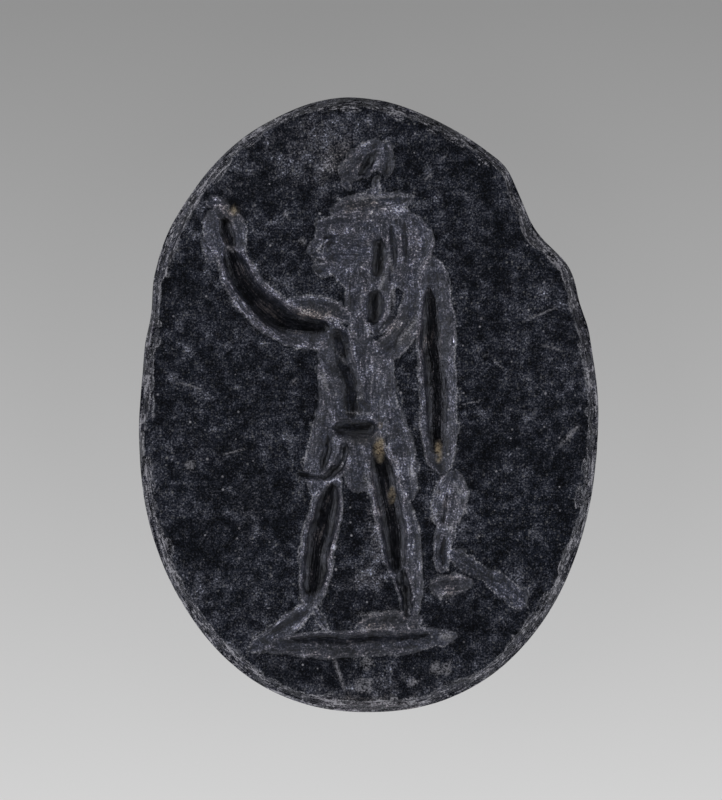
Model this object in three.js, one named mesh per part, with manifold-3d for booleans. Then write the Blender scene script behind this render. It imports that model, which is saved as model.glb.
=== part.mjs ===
// An engraved gem: an oval ring stone of dark iron ore, flat on both faces, with a standing crowned
// figure sunk into the upper face by a small bow-driven wheel. It lies on its back, engraving up.
// Millimetres, +Z up out of the engraved face, +Y towards the figure's head.
// The origin is the centre of the flat back.
import * as THREE from "three";
import { ParametricGeometry } from "three/addons/geometries/ParametricGeometry.js";
import { mergeVertices } from "three/addons/utils/BufferGeometryUtils.js";
import Module from "manifold-3d";

const wasm = await Module();
wasm.setup();

// The stone
const STONE_LENGTH = 16.0;
const STONE_WIDTH = 12.0;
const STONE_THICKNESS = 3.0;
const OVAL_SQUARENESS = 2.22; // 2 is a true ellipse; a little more fills the four shoulders
const OUTLINE_SEGMENTS = 96;

// The edge, from the engraved face down to the back
const FACE_BEVEL_WIDTH = 0.24;
const FACE_BEVEL_DROP = 0.42;
const BEVEL_CREST = { width: 0.35, drop: 0.4 }; // shares of the bevel at which it is worn round
const GIRDLE_HEIGHT = 0.35; // the nearly upright band under the bevel
const GIRDLE_DRAFT = 0.03;
const BACK_TAPER_WIDTH = 0.55;
const BACK_BEVEL_WIDTH = 0.2;
const BACK_BEVEL_RISE = 0.18;

// Where the outline is worn or broken away: direction and spread in degrees, bite in millimetres
const OUTLINE_DENTS = [
  { name: "worn shoulder", at: 58, spread: 44, bite: 0.4 },
  { name: "broken notch", at: 46, spread: 18, bite: 0.3 },
  { name: "deepest part of the notch", at: 48, spread: 12, bite: 0.1 },
  { name: "corner above the notch", at: 60, spread: 5, bite: -0.04 },
  { name: "flat above the notch", at: 74, spread: 14, bite: 0.06 },
  { name: "flat below the notch", at: 27, spread: 9, bite: 0.1 },
  { name: "flat right flank", at: 18, spread: 20, bite: 0.12 },
  { name: "flat left flank", at: 168, spread: 20, bite: 0.09 },
  { name: "flat upper left flank", at: 157, spread: 9, bite: 0.1 },
  { name: "full crown", at: 94, spread: 16, bite: -0.09 },
  { name: "full left shoulder", at: 140, spread: 12, bite: -0.06 },
  { name: "full lower left", at: 208, spread: 26, bite: -0.06 },
];

// Flakes struck off the bevel: direction in degrees, and length, width and depth in millimetres
const EDGE_FLAKES = [
  { name: "notch floor", at: 47, length: 1.5, width: 0.34, depth: 0.5 },
  { name: "notch lip", at: 56, length: 1.1, width: 0.22, depth: 0.3 },
  { name: "right flank long", at: 23, length: 2.3, width: 0.2, depth: 0.32 },
  { name: "right flank low", at: 350, length: 0.9, width: 0.22, depth: 0.3 },
  { name: "lower right nick", at: 322, length: 1.2, width: 0.22, depth: 0.34 },
  { name: "lower right long", at: 303, length: 1.9, width: 0.3, depth: 0.34 },
  { name: "foot right", at: 286, length: 1.5, width: 0.34, depth: 0.3 },
  { name: "foot left", at: 243, length: 1.8, width: 0.3, depth: 0.3 },
  { name: "lower left", at: 212, length: 1.6, width: 0.2, depth: 0.28 },
  { name: "left flank", at: 178, length: 1.4, width: 0.16, depth: 0.28 },
  { name: "upper left long", at: 141, length: 2.6, width: 0.34, depth: 0.42 },
];
const FLAKE_SIDES = 10;
const FLAKE_TIERS = 6;
const FLAKE_OUT = 0.3; // share of its width and depth by which a flake lies off the bevel's middle

// Tolerances of the meshes
const MERGE_WITHIN = 1e-5;
const ON_AXIS = 1e-6;

// The engraving is drawn on a squared grid: x to the right of the figure's axis and y up from the
// ground line, with the crown's top at row MOTIF_ROWS. The margins fit it into the stone's length.
const FIELD_MARGIN_TOP = 1.06;
const FIELD_MARGIN_FOOT = 1.48;
const MOTIF_ROWS = 103;
const MOTIF_COLUMN = -1.7; // the figure's axis stands this many squares from the stone's own

// The engraver's wheels. fullness is a cut's depth over its half width. flatness is 2 for a round
// bottom and more for a flat one. squareness is 2 for a cut with an oval plan, and more for one
// that keeps its width further towards its ends.
const WHEELS = {
  level: { fullness: 0.07, flatness: 4, squareness: 3 },
  shallow: { fullness: 0.21, flatness: 2.6, squareness: 4 },
  broad: { fullness: 0.34, flatness: 2.2, squareness: 2.4 },
  round: { fullness: 0.5, flatness: 2, squareness: 2.6 },
  deep: { fullness: 0.7, flatness: 2.2, squareness: 3 },
  long: { fullness: 0.52, flatness: 2, squareness: 5 },
  slot: { fullness: 0.46, flatness: 4, squareness: 3.4 },
  soft: { fullness: 0.4, flatness: 2.4, squareness: 3 },
  fine: { fullness: 0.8, flatness: 2, squareness: 2 },
};
const BROAD_CUT_SQUARES = 2; // from this half width up, in squares, a cut's section has more sides
const BROAD_CUT_SIDES = 6;
const SLIM_CUT_SIDES = 4;
const LASTING_CUT_SQUARES = 15; // from this length up, in squares, a cut has more steps along it
const LASTING_CUT_STEPS = 8;
const BRIEF_CUT_STEPS = 6;
const CUTTER_PROUD = 0.12; // a cutter stands this far above the face, so that it opens it cleanly
const TIP_PROUD = 0.02; // and its two tips this far

// The face in profile, on the plain rule of thirds: brow to nose and nose to chin are alike
const PROFILE = -8.4;
const BROW = 83.4;
const FACE_THIRD = 3.7;
const NOSE = BROW - FACE_THIRD;
const MOUTH = NOSE - FACE_THIRD / 3;
const CHIN = NOSE - FACE_THIRD;

// A cut of the engraving: its wheel, half its width at the middle and the path it follows.
// A cut made in the bottom of an earlier one starts from that floor, at the depth given.
const cut = (name, wheel, half, path, floor = 0) => ({ name, wheel, half, path, floor });

const CUTS = [
  // Ground and feet
  cut("ground", WHEELS.broad, 2.7, [[-20.6, 1.8], [-4, 2.2], [8, 2.7], [19.4, 4]]),
  cut("ground line", WHEELS.soft, 1, [[-14, 2.9], [-2, 3], [13.6, 4.7]], 0.7),
  cut("left foot", WHEELS.broad, 2, [[-22.6, 0.8], [-16, 4.6], [-9.2, 10.6]]),
  cut("left sole", WHEELS.fine, 0.8, [[-18, 4], [-10.4, 8.8]], 0.5),
  cut("left heel", WHEELS.broad, 0.9, [[-9.6, 9.8], [-6.6, 4.6]]),
  cut("right foot", WHEELS.broad, 1.9, [[-1, 5.6], [5, 6.9], [12.6, 7]]),
  // Legs
  cut("left shin", WHEELS.round, 3.5, [[-5.2, 37], [-7.3, 28], [-8.6, 19], [-9.8, 9.4]]),
  cut("left shin floor", WHEELS.slot, 2.1, [[-5.6, 34.6], [-8, 24], [-9.2, 12]], 1.1),
  cut("right thigh", WHEELS.round, 3.4, [[1, 45.4], [4.8, 35.6], [6.5, 27.4], [8.2, 15]]),
  cut("right thigh floor", WHEELS.slot, 1.9, [[2.2, 42.6], [6, 30], [8, 17]], 1.1),
  cut("right calf", WHEELS.deep, 1.1, [[7.8, 18.6], [9.8, 7.6]]),
  cut("right leg edge", WHEELS.broad, 1.8, [[8.8, 32], [10.3, 22], [11, 7]]),
  cut("right leg groove", WHEELS.fine, 0.6, [[9.4, 26], [10.4, 9]], 0.3),
  // Kilt
  cut("kilt left", WHEELS.broad, 3.7, [[-5.2, 51], [-6.8, 42], [-8.2, 31]]),
  cut("kilt fold left", WHEELS.deep, 1.1, [[-6.4, 44.2], [-7.3, 36.6]], 1),
  cut("kilt fold middle", WHEELS.deep, 1.2, [[-2.4, 42.4], [-4.4, 37.6], [-7.6, 34.8]], 0.8),
  cut("kilt hem", WHEELS.deep, 0.9, [[-12.4, 36.3], [-8, 35.6], [-4.2, 36.8]], 0.5),
  cut("kilt lap", WHEELS.broad, 3.3, [[-1, 44], [0.4, 32.4]]),
  cut("hip", WHEELS.broad, 2.4, [[6.8, 50], [8.4, 41], [10.2, 31]]),
  cut("hip corner", WHEELS.broad, 1.4, [[7.6, 39.6], [12, 36.8]]),
  // Body
  cut("belly", WHEELS.shallow, 7.5, [[-0.9, 63.6], [-0.7, 41.4]]),
  cut("chest", WHEELS.round, 3.7, [[-5.8, 66.6], [-4, 57], [-1.6, 46]]),
  cut("breast line", WHEELS.soft, 2.1, [[-4.8, 64.8], [-3, 57.2], [-0.8, 47.6]], 1.3),
  cut("right side", WHEELS.broad, 1.9, [[5, 61], [5.3, 52], [7, 43]]),
  cut("belt", WHEELS.deep, 1.4, [[-4.8, 45.7], [3, 45.7]], 1.5),
  cut("belt edge", WHEELS.broad, 2.6, [[-5.6, 45.2], [3.6, 45.2]], 0.6),
  cut("waist fold", WHEELS.round, 1, [[-3.4, 50], [1.6, 50]], 1.5),
  // Raised arm
  cut("raised arm", WHEELS.round, 4, [[-2.4, 63.8], [-13, 65.2], [-21.8, 72], [-27.4, 83]]),
  cut("raised arm floor", WHEELS.slot, 2.3, [[-6, 64.8], [-14.6, 66.4], [-22, 72.4], [-26.6, 81.6]], 1.2),
  cut("shoulder", WHEELS.broad, 2.1, [[-16.4, 69.4], [-8, 69.4], [-0.6, 66.8]]),
  cut("raised hand", WHEELS.broad, 3.6, [[-28.9, 89.4], [-25.8, 78.6]]),
  cut("palm edge", WHEELS.broad, 1.8, [[-25.2, 88.2], [-23.9, 80]]),
  cut("palm", WHEELS.slot, 1.4, [[-27.6, 87.4], [-25.5, 81]], 0.9),
  cut("wrist", WHEELS.broad, 1.7, [[-31.8, 83.8], [-29.4, 78.4]]),
  cut("fingers", WHEELS.shallow, 1.1, [[-30.6, 90.8], [-26.2, 89.2]]),
  // Bent arm
  cut("bent arm", WHEELS.round, 2.6, [[10.8, 77], [10.2, 68], [6.8, 62.2], [-0.6, 58]]),
  cut("arm fold", WHEELS.fine, 0.9, [[6.8, 67.6], [3.4, 64.4]], 0.6),
  // Neck, head and hair
  cut("head", WHEELS.level, 8.6, [[2.4, 92], [2.4, 72]]),
  cut("neck", WHEELS.round, 3, [[4.2, 84.6], [3, 64]]),
  cut("throat", WHEELS.broad, 2.2, [[-1.2, 78], [0.2, 61]]),
  cut("neck pit upper", WHEELS.deep, 1.3, [[4.1, 82.8], [3.3, 75.8]], 1.1),
  cut("neck pit lower", WHEELS.deep, 1.5, [[3.7, 72.8], [2.5, 66.6]], 1),
  cut("face", WHEELS.broad, 4.4, [[PROFILE + 1, BROW - 2.4], [3.8, BROW - 2.6]]),
  cut("forehead", WHEELS.broad, 1.7, [[PROFILE + 1.6, BROW + 3.2], [PROFILE + 1, BROW - 1.2]]),
  cut("jaw", WHEELS.broad, 2.1, [[PROFILE + 0.4, CHIN + 1.6], [3.2, CHIN + 3]]),
  cut("chin", WHEELS.round, 1.3, [[PROFILE - 0.7, CHIN + 0.8], [PROFILE + 3, CHIN + 1]]),
  cut("upper lip", WHEELS.fine, 0.6, [[PROFILE - 1, MOUTH + 0.5], [PROFILE + 1.8, MOUTH + 0.3]]),
  cut("lower lip", WHEELS.fine, 0.6, [[PROFILE - 0.9, MOUTH - 0.8], [PROFILE + 1.6, MOUTH - 0.6]]),
  cut("nose", WHEELS.round, 1, [[PROFILE + 0.9, BROW + 0.6], [PROFILE - 1.9, NOSE + 0.3]]),
  cut("nose base", WHEELS.round, 0.8, [[PROFILE - 1.7, NOSE + 0.4], [PROFILE + 1.6, NOSE]]),
  cut("eye", WHEELS.fine, 0.7, [[PROFILE + 1.6, BROW - 1.1], [PROFILE + 3.8, BROW - 0.9]], 0.9),
  cut("eyebrow", WHEELS.fine, 0.5, [[PROFILE + 1, BROW + 0.2], [PROFILE + 4.4, BROW + 0.4]], 0.8),
  cut("headband", WHEELS.broad, 2, [[-9, 86], [0, 86.6], [9.4, 88.4]]),
  cut("hair", WHEELS.broad, 3.2, [[8.2, 89], [11.2, 82], [9.2, 72.4]]),
  cut("hair roll", WHEELS.round, 1.7, [[10.6, 87.6], [12.6, 82.4], [11.2, 77.4]], 0.5),
  cut("hair lock inner", WHEELS.fine, 0.8, [[6.6, 86.8], [7.3, 80], [6.6, 73]], 0.3),
  cut("hair lock outer", WHEELS.fine, 0.7, [[9, 86.6], [9.6, 78]], 0.8),
  // Crown
  cut("cap", WHEELS.broad, 2.3, [[-6, 88.4], [2, 90], [10.6, 91]]),
  cut("crown stem", WHEELS.round, 0.9, [[3.2, 95.6], [3.3, 91.4]]),
  cut("crown foot", WHEELS.fine, 0.6, [[-3.6, 95], [-1.6, 92.4]]),
  cut("crown disc", WHEELS.broad, 2.9, [[-4, 95.6], [5.4, 102]]),
  cut("crown horn", WHEELS.round, 1.7, [[5, 102.8], [5.3, 95.8]]),
  cut("crown slot", WHEELS.deep, 0.9, [[0, 96.2], [2.9, 99.8]], 0.7),
  // The long upright shaft and what hangs from it
  cut("shaft", WHEELS.long, 3.7, [[14.6, 79.2], [15.4, 58], [16, 36.4]]),
  cut("shaft floor", WHEELS.slot, 1.8, [[14.4, 77.6], [15.3, 58], [15.8, 38.6]], 1.5),
  cut("knot", WHEELS.broad, 3.5, [[18.8, 36.8], [17.8, 31], [16.6, 25.2]]),
  cut("knot slot", WHEELS.deep, 0.8, [[17.5, 33.2], [16.5, 26]], 0.8),
  cut("tassel", WHEELS.round, 1.8, [[17, 27.6], [16.1, 16.8]]),
  cut("leaf", WHEELS.broad, 2.1, [[13.8, 13.9], [22.4, 14.6]]),
  cut("tail upper", WHEELS.shallow, 1.5, [[17.2, 21.2], [22.2, 18], [27.4, 14.6]]),
  cut("tail lower", WHEELS.shallow, 2.1, [[25, 16.2], [29, 13.4], [32.8, 10]]),
];

// A closed three.js geometry as a solid that can be joined and cut.
function solidOf(geometry) {
  const bare = geometry.index ? geometry.toNonIndexed() : geometry.clone();
  bare.deleteAttribute("normal");
  bare.deleteAttribute("uv");
  const merged = mergeVertices(bare, MERGE_WITHIN);
  return new wasm.Manifold(
    new wasm.Mesh({
      numProp: 3,
      vertProperties: merged.attributes.position.array,
      triVerts: new Uint32Array(merged.index.array),
    }),
  );
}

// The reach of the outline from the stone's axis, in a direction given in degrees.
function outlineReach(degrees) {
  const angle = THREE.MathUtils.degToRad(degrees);
  const across = Math.abs(Math.cos(angle)) / (STONE_WIDTH / 2);
  const along = Math.abs(Math.sin(angle)) / (STONE_LENGTH / 2);
  const reach = (across ** OVAL_SQUARENESS + along ** OVAL_SQUARENESS) ** (-1 / OVAL_SQUARENESS);
  const bitten = OUTLINE_DENTS.reduce((sum, dent) => {
    const away = ((((degrees - dent.at + 180) % 360) + 360) % 360) - 180;
    if (Math.abs(away) >= dent.spread) return sum;
    return sum + dent.bite * Math.cos(((away / dent.spread) * Math.PI) / 2) ** 2;
  }, 0);
  return reach - bitten;
}

// A point of the outline, in a direction given in degrees.
function outlinePoint(degrees) {
  const angle = THREE.MathUtils.degToRad(degrees);
  return new THREE.Vector2(Math.cos(angle), Math.sin(angle)).multiplyScalar(outlineReach(degrees));
}

// The blank: a turned disc whose rings are drawn out to the oval outline.
function stoneBlank() {
  const girdleTop = STONE_THICKNESS - FACE_BEVEL_DROP;
  // Each ring is its inset from the outline and its height
  const rings = [
    [BACK_TAPER_WIDTH + BACK_BEVEL_WIDTH, 0],
    [BACK_TAPER_WIDTH, BACK_BEVEL_RISE],
    [GIRDLE_DRAFT, girdleTop - GIRDLE_HEIGHT],
    [0, girdleTop],
    [FACE_BEVEL_WIDTH * BEVEL_CREST.width, STONE_THICKNESS - FACE_BEVEL_DROP * BEVEL_CREST.drop],
    [FACE_BEVEL_WIDTH, STONE_THICKNESS],
  ];
  const turned = STONE_WIDTH / 2;
  const profile = [
    new THREE.Vector2(0, 0),
    ...rings.map(([inset, height]) => new THREE.Vector2(turned - inset, height)),
    new THREE.Vector2(0, STONE_THICKNESS),
  ];
  const blank = new THREE.LatheGeometry(profile, OUTLINE_SEGMENTS);
  blank.rotateX(Math.PI / 2);
  const place = blank.attributes.position;
  for (let i = 0; i < place.count; i++) {
    const radius = Math.hypot(place.getX(i), place.getY(i));
    if (radius < ON_AXIS) continue;
    const degrees = THREE.MathUtils.radToDeg(Math.atan2(place.getY(i), place.getX(i)));
    const drawn = (outlineReach(degrees) - (turned - radius)) / radius;
    place.setXY(i, place.getX(i) * drawn, place.getY(i) * drawn);
  }
  return solidOf(blank);
}

// One cut of a wheel: a boat-shaped trough along the path, deepest at its middle.
function wheelCut({ wheel, half, floor, path }) {
  const unit = (STONE_LENGTH - FIELD_MARGIN_TOP - FIELD_MARGIN_FOOT) / MOTIF_ROWS;
  const ground = FIELD_MARGIN_FOOT - STONE_LENGTH / 2;
  const places = path.map(
    ([x, y]) => new THREE.Vector3((x + MOTIF_COLUMN) * unit, ground + y * unit, STONE_THICKNESS),
  );
  const route = new THREE.CatmullRomCurve3(places);
  const { fullness, flatness, squareness } = wheel;
  const start = floor * unit;
  const flare = (start + CUTTER_PROUD) / (flatness * fullness); // the sides run on up to its top
  const sides = half < BROAD_CUT_SQUARES ? SLIM_CUT_SIDES : BROAD_CUT_SIDES;
  const brief = route.getLength() < LASTING_CUT_SQUARES * unit;
  const steps = brief ? BRIEF_CUT_STEPS : LASTING_CUT_STEPS;
  const corners = sides + 3; // the points of a section: those of its bottom and two at its top

  // One point of the cutter: u goes round its section, v goes along it.
  const pointOf = (u, v, target) => {
    const station = Math.round(v * steps);
    const along = (1 - Math.cos((station / steps) * Math.PI)) / 2;
    route.getPointAt(along, target);
    if (station === 0 || station === steps) {
      target.z += TIP_PROUD;
      return;
    }
    const share = Math.sqrt(1 - Math.abs(2 * along - 1) ** squareness);
    const reach = half * unit * share;
    const heading = route.getTangentAt(along);
    const corner = Math.round(u * corners) % corners;
    const onTop = corner > sides;
    const topSide = corner === sides + 1 ? 1 : -1;
    const side = onTop ? topSide : (2 * corner) / sides - 1;
    const across = side * (onTop ? reach + flare : reach);
    const lift = onTop ? CUTTER_PROUD : -start - reach * fullness * (1 - Math.abs(side) ** flatness);
    target.x -= heading.y * across;
    target.y += heading.x * across;
    target.z += lift;
  };
  return solidOf(new ParametricGeometry(pointOf, corners, steps));
}

// A flake struck off the edge, as a flattened ball sunk into the bevel.
function edgeFlake({ at, length, width, depth }) {
  const flake = new THREE.SphereGeometry(1, FLAKE_SIDES, FLAKE_TIERS);
  flake.scale(width, length / 2, depth);
  const edge = outlinePoint(at + 1).sub(outlinePoint(at - 1));
  flake.rotateZ(edge.angle() - Math.PI / 2);
  const middle = outlinePoint(at);
  middle.setLength(middle.length() - FACE_BEVEL_WIDTH / 2 + width * FLAKE_OUT);
  flake.translate(middle.x, middle.y, STONE_THICKNESS - FACE_BEVEL_DROP / 2 + depth * FLAKE_OUT);
  return solidOf(flake);
}

// A solid as a mesh of its own, with the finish it is shown in.
function meshOf(name, solid, finish) {
  const { vertProperties, triVerts } = solid.getMesh();
  const geometry = new THREE.BufferGeometry();
  geometry.setAttribute("position", new THREE.BufferAttribute(vertProperties, 3));
  geometry.setIndex(new THREE.BufferAttribute(triVerts, 1));
  const flat = geometry.toNonIndexed();
  flat.computeVertexNormals();
  const mesh = new THREE.Mesh(flat, finish);
  mesh.name = name;
  return mesh;
}

const hematite = new THREE.MeshStandardMaterial({
  name: "hematite",
  color: 0x24262b,
  roughness: 0.3,
  metalness: 0.35,
});

const cutters = [...CUTS.map(wheelCut), ...EDGE_FLAKES.map(edgeFlake)];
const stone = cutters.reduce((rest, cutter) => rest.subtract(cutter), stoneBlank());

const gem = new THREE.Group();
gem.name = "engraved_gem";
gem.add(meshOf("gem", stone, hematite));

export default gem;
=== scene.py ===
"""An engraved gem: an oval ring stone of dark iron ore that lies on its flat back, engraving up.

A standing crowned figure is sunk into the flat upper face with a bow-driven wheel. The stone is
one piece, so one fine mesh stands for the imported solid. It lies on a pale graduated sheet, in
soft studio light from all round and with a dark ceiling, as such stones are photographed.
"""

from __future__ import annotations

import logging
import math
from dataclasses import dataclass, field
from enum import Enum

import bpy
import numpy as np
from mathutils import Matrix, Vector

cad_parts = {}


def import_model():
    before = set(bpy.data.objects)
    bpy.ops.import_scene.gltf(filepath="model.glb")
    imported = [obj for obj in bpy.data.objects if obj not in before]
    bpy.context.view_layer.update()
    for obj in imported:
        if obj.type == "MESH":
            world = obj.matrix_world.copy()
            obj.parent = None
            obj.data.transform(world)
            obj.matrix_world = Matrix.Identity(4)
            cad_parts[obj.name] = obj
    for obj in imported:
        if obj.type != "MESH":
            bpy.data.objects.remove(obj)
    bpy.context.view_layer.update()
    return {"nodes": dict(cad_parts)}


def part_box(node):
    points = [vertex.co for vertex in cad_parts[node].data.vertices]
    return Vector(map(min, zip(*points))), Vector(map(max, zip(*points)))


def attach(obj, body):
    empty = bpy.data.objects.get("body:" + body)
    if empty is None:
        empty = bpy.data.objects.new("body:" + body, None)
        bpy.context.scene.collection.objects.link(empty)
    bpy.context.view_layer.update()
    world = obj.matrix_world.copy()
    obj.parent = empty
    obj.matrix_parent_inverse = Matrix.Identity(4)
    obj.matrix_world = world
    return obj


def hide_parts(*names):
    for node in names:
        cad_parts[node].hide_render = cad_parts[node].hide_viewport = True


LOG = logging.getLogger("engraved_gem")
MM = 0.001
Colour = tuple[float, float, float]
Point = tuple[float, float]


def blend_in(value: np.ndarray, low: float, high: float) -> np.ndarray:
    """Ramps smoothly from 0 where value is at low to 1 where it is at high.

    Args:
        value: The numbers to ramp.
        low: Where the ramp starts.
        high: Where the ramp ends.

    Returns:
        Numbers from 0 to 1, as many as came in.
    """
    share = np.clip((value - low) / (high - low), 0, 1)
    return share * share * (3 - 2 * share)


def soft_deeper(one: np.ndarray, other: np.ndarray, rounding: float) -> np.ndarray:
    """Takes the deeper of two depths and rounds the edge where they meet.

    Args:
        one: Depths in millimetres.
        other: Depths in millimetres.
        rounding: How wide the rounded edge is, in millimetres.

    Returns:
        The joined depths.
    """
    near = np.clip(1 - np.abs(one - other) / rounding, 0, None)
    return np.maximum(one, other) + near * near * rounding / 4


class Grain:
    """Smooth unevenness over a plane, from -1 to 1, the same on every run."""

    KNOTS = 256

    def __init__(self, seed: int) -> None:
        """Draws the values that the unevenness runs between."""
        self.knots = np.random.default_rng(seed).uniform(-1, 1, (self.KNOTS, self.KNOTS))

    def at(self, x: np.ndarray, y: np.ndarray, pitch: float) -> np.ndarray:
        """Reads one layer of the unevenness.

        Args:
            x: Places across, in millimetres.
            y: Places up, in millimetres.
            pitch: The distance from one knot to the next, in millimetres.

        Returns:
            A number from -1 to 1 for each place.
        """
        column, row = np.floor(x / pitch), np.floor(y / pitch)
        s, t = x / pitch - column, y / pitch - row
        s, t = s * s * (3 - 2 * s), t * t * (3 - 2 * t)
        left, low = column.astype(int) % self.KNOTS, row.astype(int) % self.KNOTS
        right, high = (left + 1) % self.KNOTS, (low + 1) % self.KNOTS
        lower = self.knots[left, low] * (1 - s) + self.knots[right, low] * s
        upper = self.knots[left, high] * (1 - s) + self.knots[right, high] * s
        return lower * (1 - t) + upper * t

    def layered(self, x: np.ndarray, y: np.ndarray, layers: tuple[Point, ...]) -> np.ndarray:
        """Adds up layers of the unevenness, each with a pitch in millimetres and a strength."""
        return sum(strength * self.at(x, y, pitch) for pitch, strength in layers)

    def rough(self, x: np.ndarray, y: np.ndarray, pitch: float) -> np.ndarray:
        """Reads three layers at once, each half as coarse and half as strong as the last."""
        layers = [self.at(x + 7 * k, y - 5 * k, pitch / 2**k) / 2**k for k in range(3)]
        return sum(layers) / 1.75


class Wheel(Enum):
    """An engraver's wheel: fullness is a cut's depth over its half width, flatness is 2 for a
    round bottom and more for a flat one, squareness is 2 for an oval plan and more for one that
    keeps its width further towards its ends. The last number is how smooth its floor is.
    """

    # The last number also sets how much painted shade darkens a cut's floor.
    LEVEL = (0.07, 4, 3, 0)
    SHALLOW = (0.21, 2.6, 4, 0)
    BROAD = (0.34, 2.2, 2.4, 0)
    ROUND = (0.5, 2, 2.6, 0)
    DEEP = (0.7, 2.2, 3, 0.6)
    LONG = (0.52, 2, 5, 0)
    SLOT = (0.46, 3, 3.4, 1)
    SOFT = (0.4, 2.4, 3, 0.65)
    FINE = (0.8, 2, 2, 0)


@dataclass(frozen=True)
class Cut:
    """One cut of a wheel, in squares of the engraving's grid.

    Attributes:
        name: What the cut is of.
        wheel: The wheel that made it.
        half: Half its width at the middle.
        path: The points that it follows.
        floor: How deep the earlier cut is that it starts from.
        CURVE_STEPS: How many points the smooth line has between two of those points.
    """

    name: str
    wheel: Wheel
    half: float
    path: tuple[Point, ...]
    floor: float = 0

    CURVE_STEPS = 40

    def route(self, steps: int = 28) -> np.ndarray:
        """Draws the smooth line that the wheel followed.

        Args:
            steps: How many even steps the line is given in.

        Returns:
            Its points, one more than there are steps.
        """
        points = np.array(self.path, float)
        points = np.vstack([2 * points[0] - points[1], points, 2 * points[-1] - points[-2]])
        share = np.linspace(0, 1, self.CURVE_STEPS)[:, None]
        pieces = []
        for corners in zip(points, points[1:], points[2:], points[3:]):
            before, start, end, after = corners
            legs = [there - here for here, there in zip(corners, corners[1:])]
            gaps = [np.hypot(*leg) ** 0.5 for leg in legs]
            slopes = [leg / gap for leg, gap in zip(legs, gaps)]
            leave = slopes[0] - (end - before) / (gaps[0] + gaps[1]) + slopes[1]
            arrive = slopes[1] - (after - start) / (gaps[1] + gaps[2]) + slopes[2]
            pieces.append(
                (2 * share**3 - 3 * share**2 + 1) * start
                + (share**3 - 2 * share**2 + share) * leave * gaps[1]
                + (3 * share**2 - 2 * share**3) * end
                + (share**3 - share**2) * arrive * gaps[1]
            )
        line = np.vstack(pieces)
        run = np.r_[0, np.cumsum(np.hypot(*np.diff(line, axis=0).T))]
        even = np.linspace(0, run[-1], steps + 1)
        return np.column_stack([np.interp(even, run, line[:, 0]), np.interp(even, run, line[:, 1])])


# A plain face in profile, on the rule of thirds: brow to nose and nose to chin are alike
PROFILE = -8.4
BROW = 83.4
FACE_THIRD = 3.7
NOSE = BROW - FACE_THIRD
MOUTH = NOSE - FACE_THIRD / 3
CHIN = NOSE - FACE_THIRD

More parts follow.
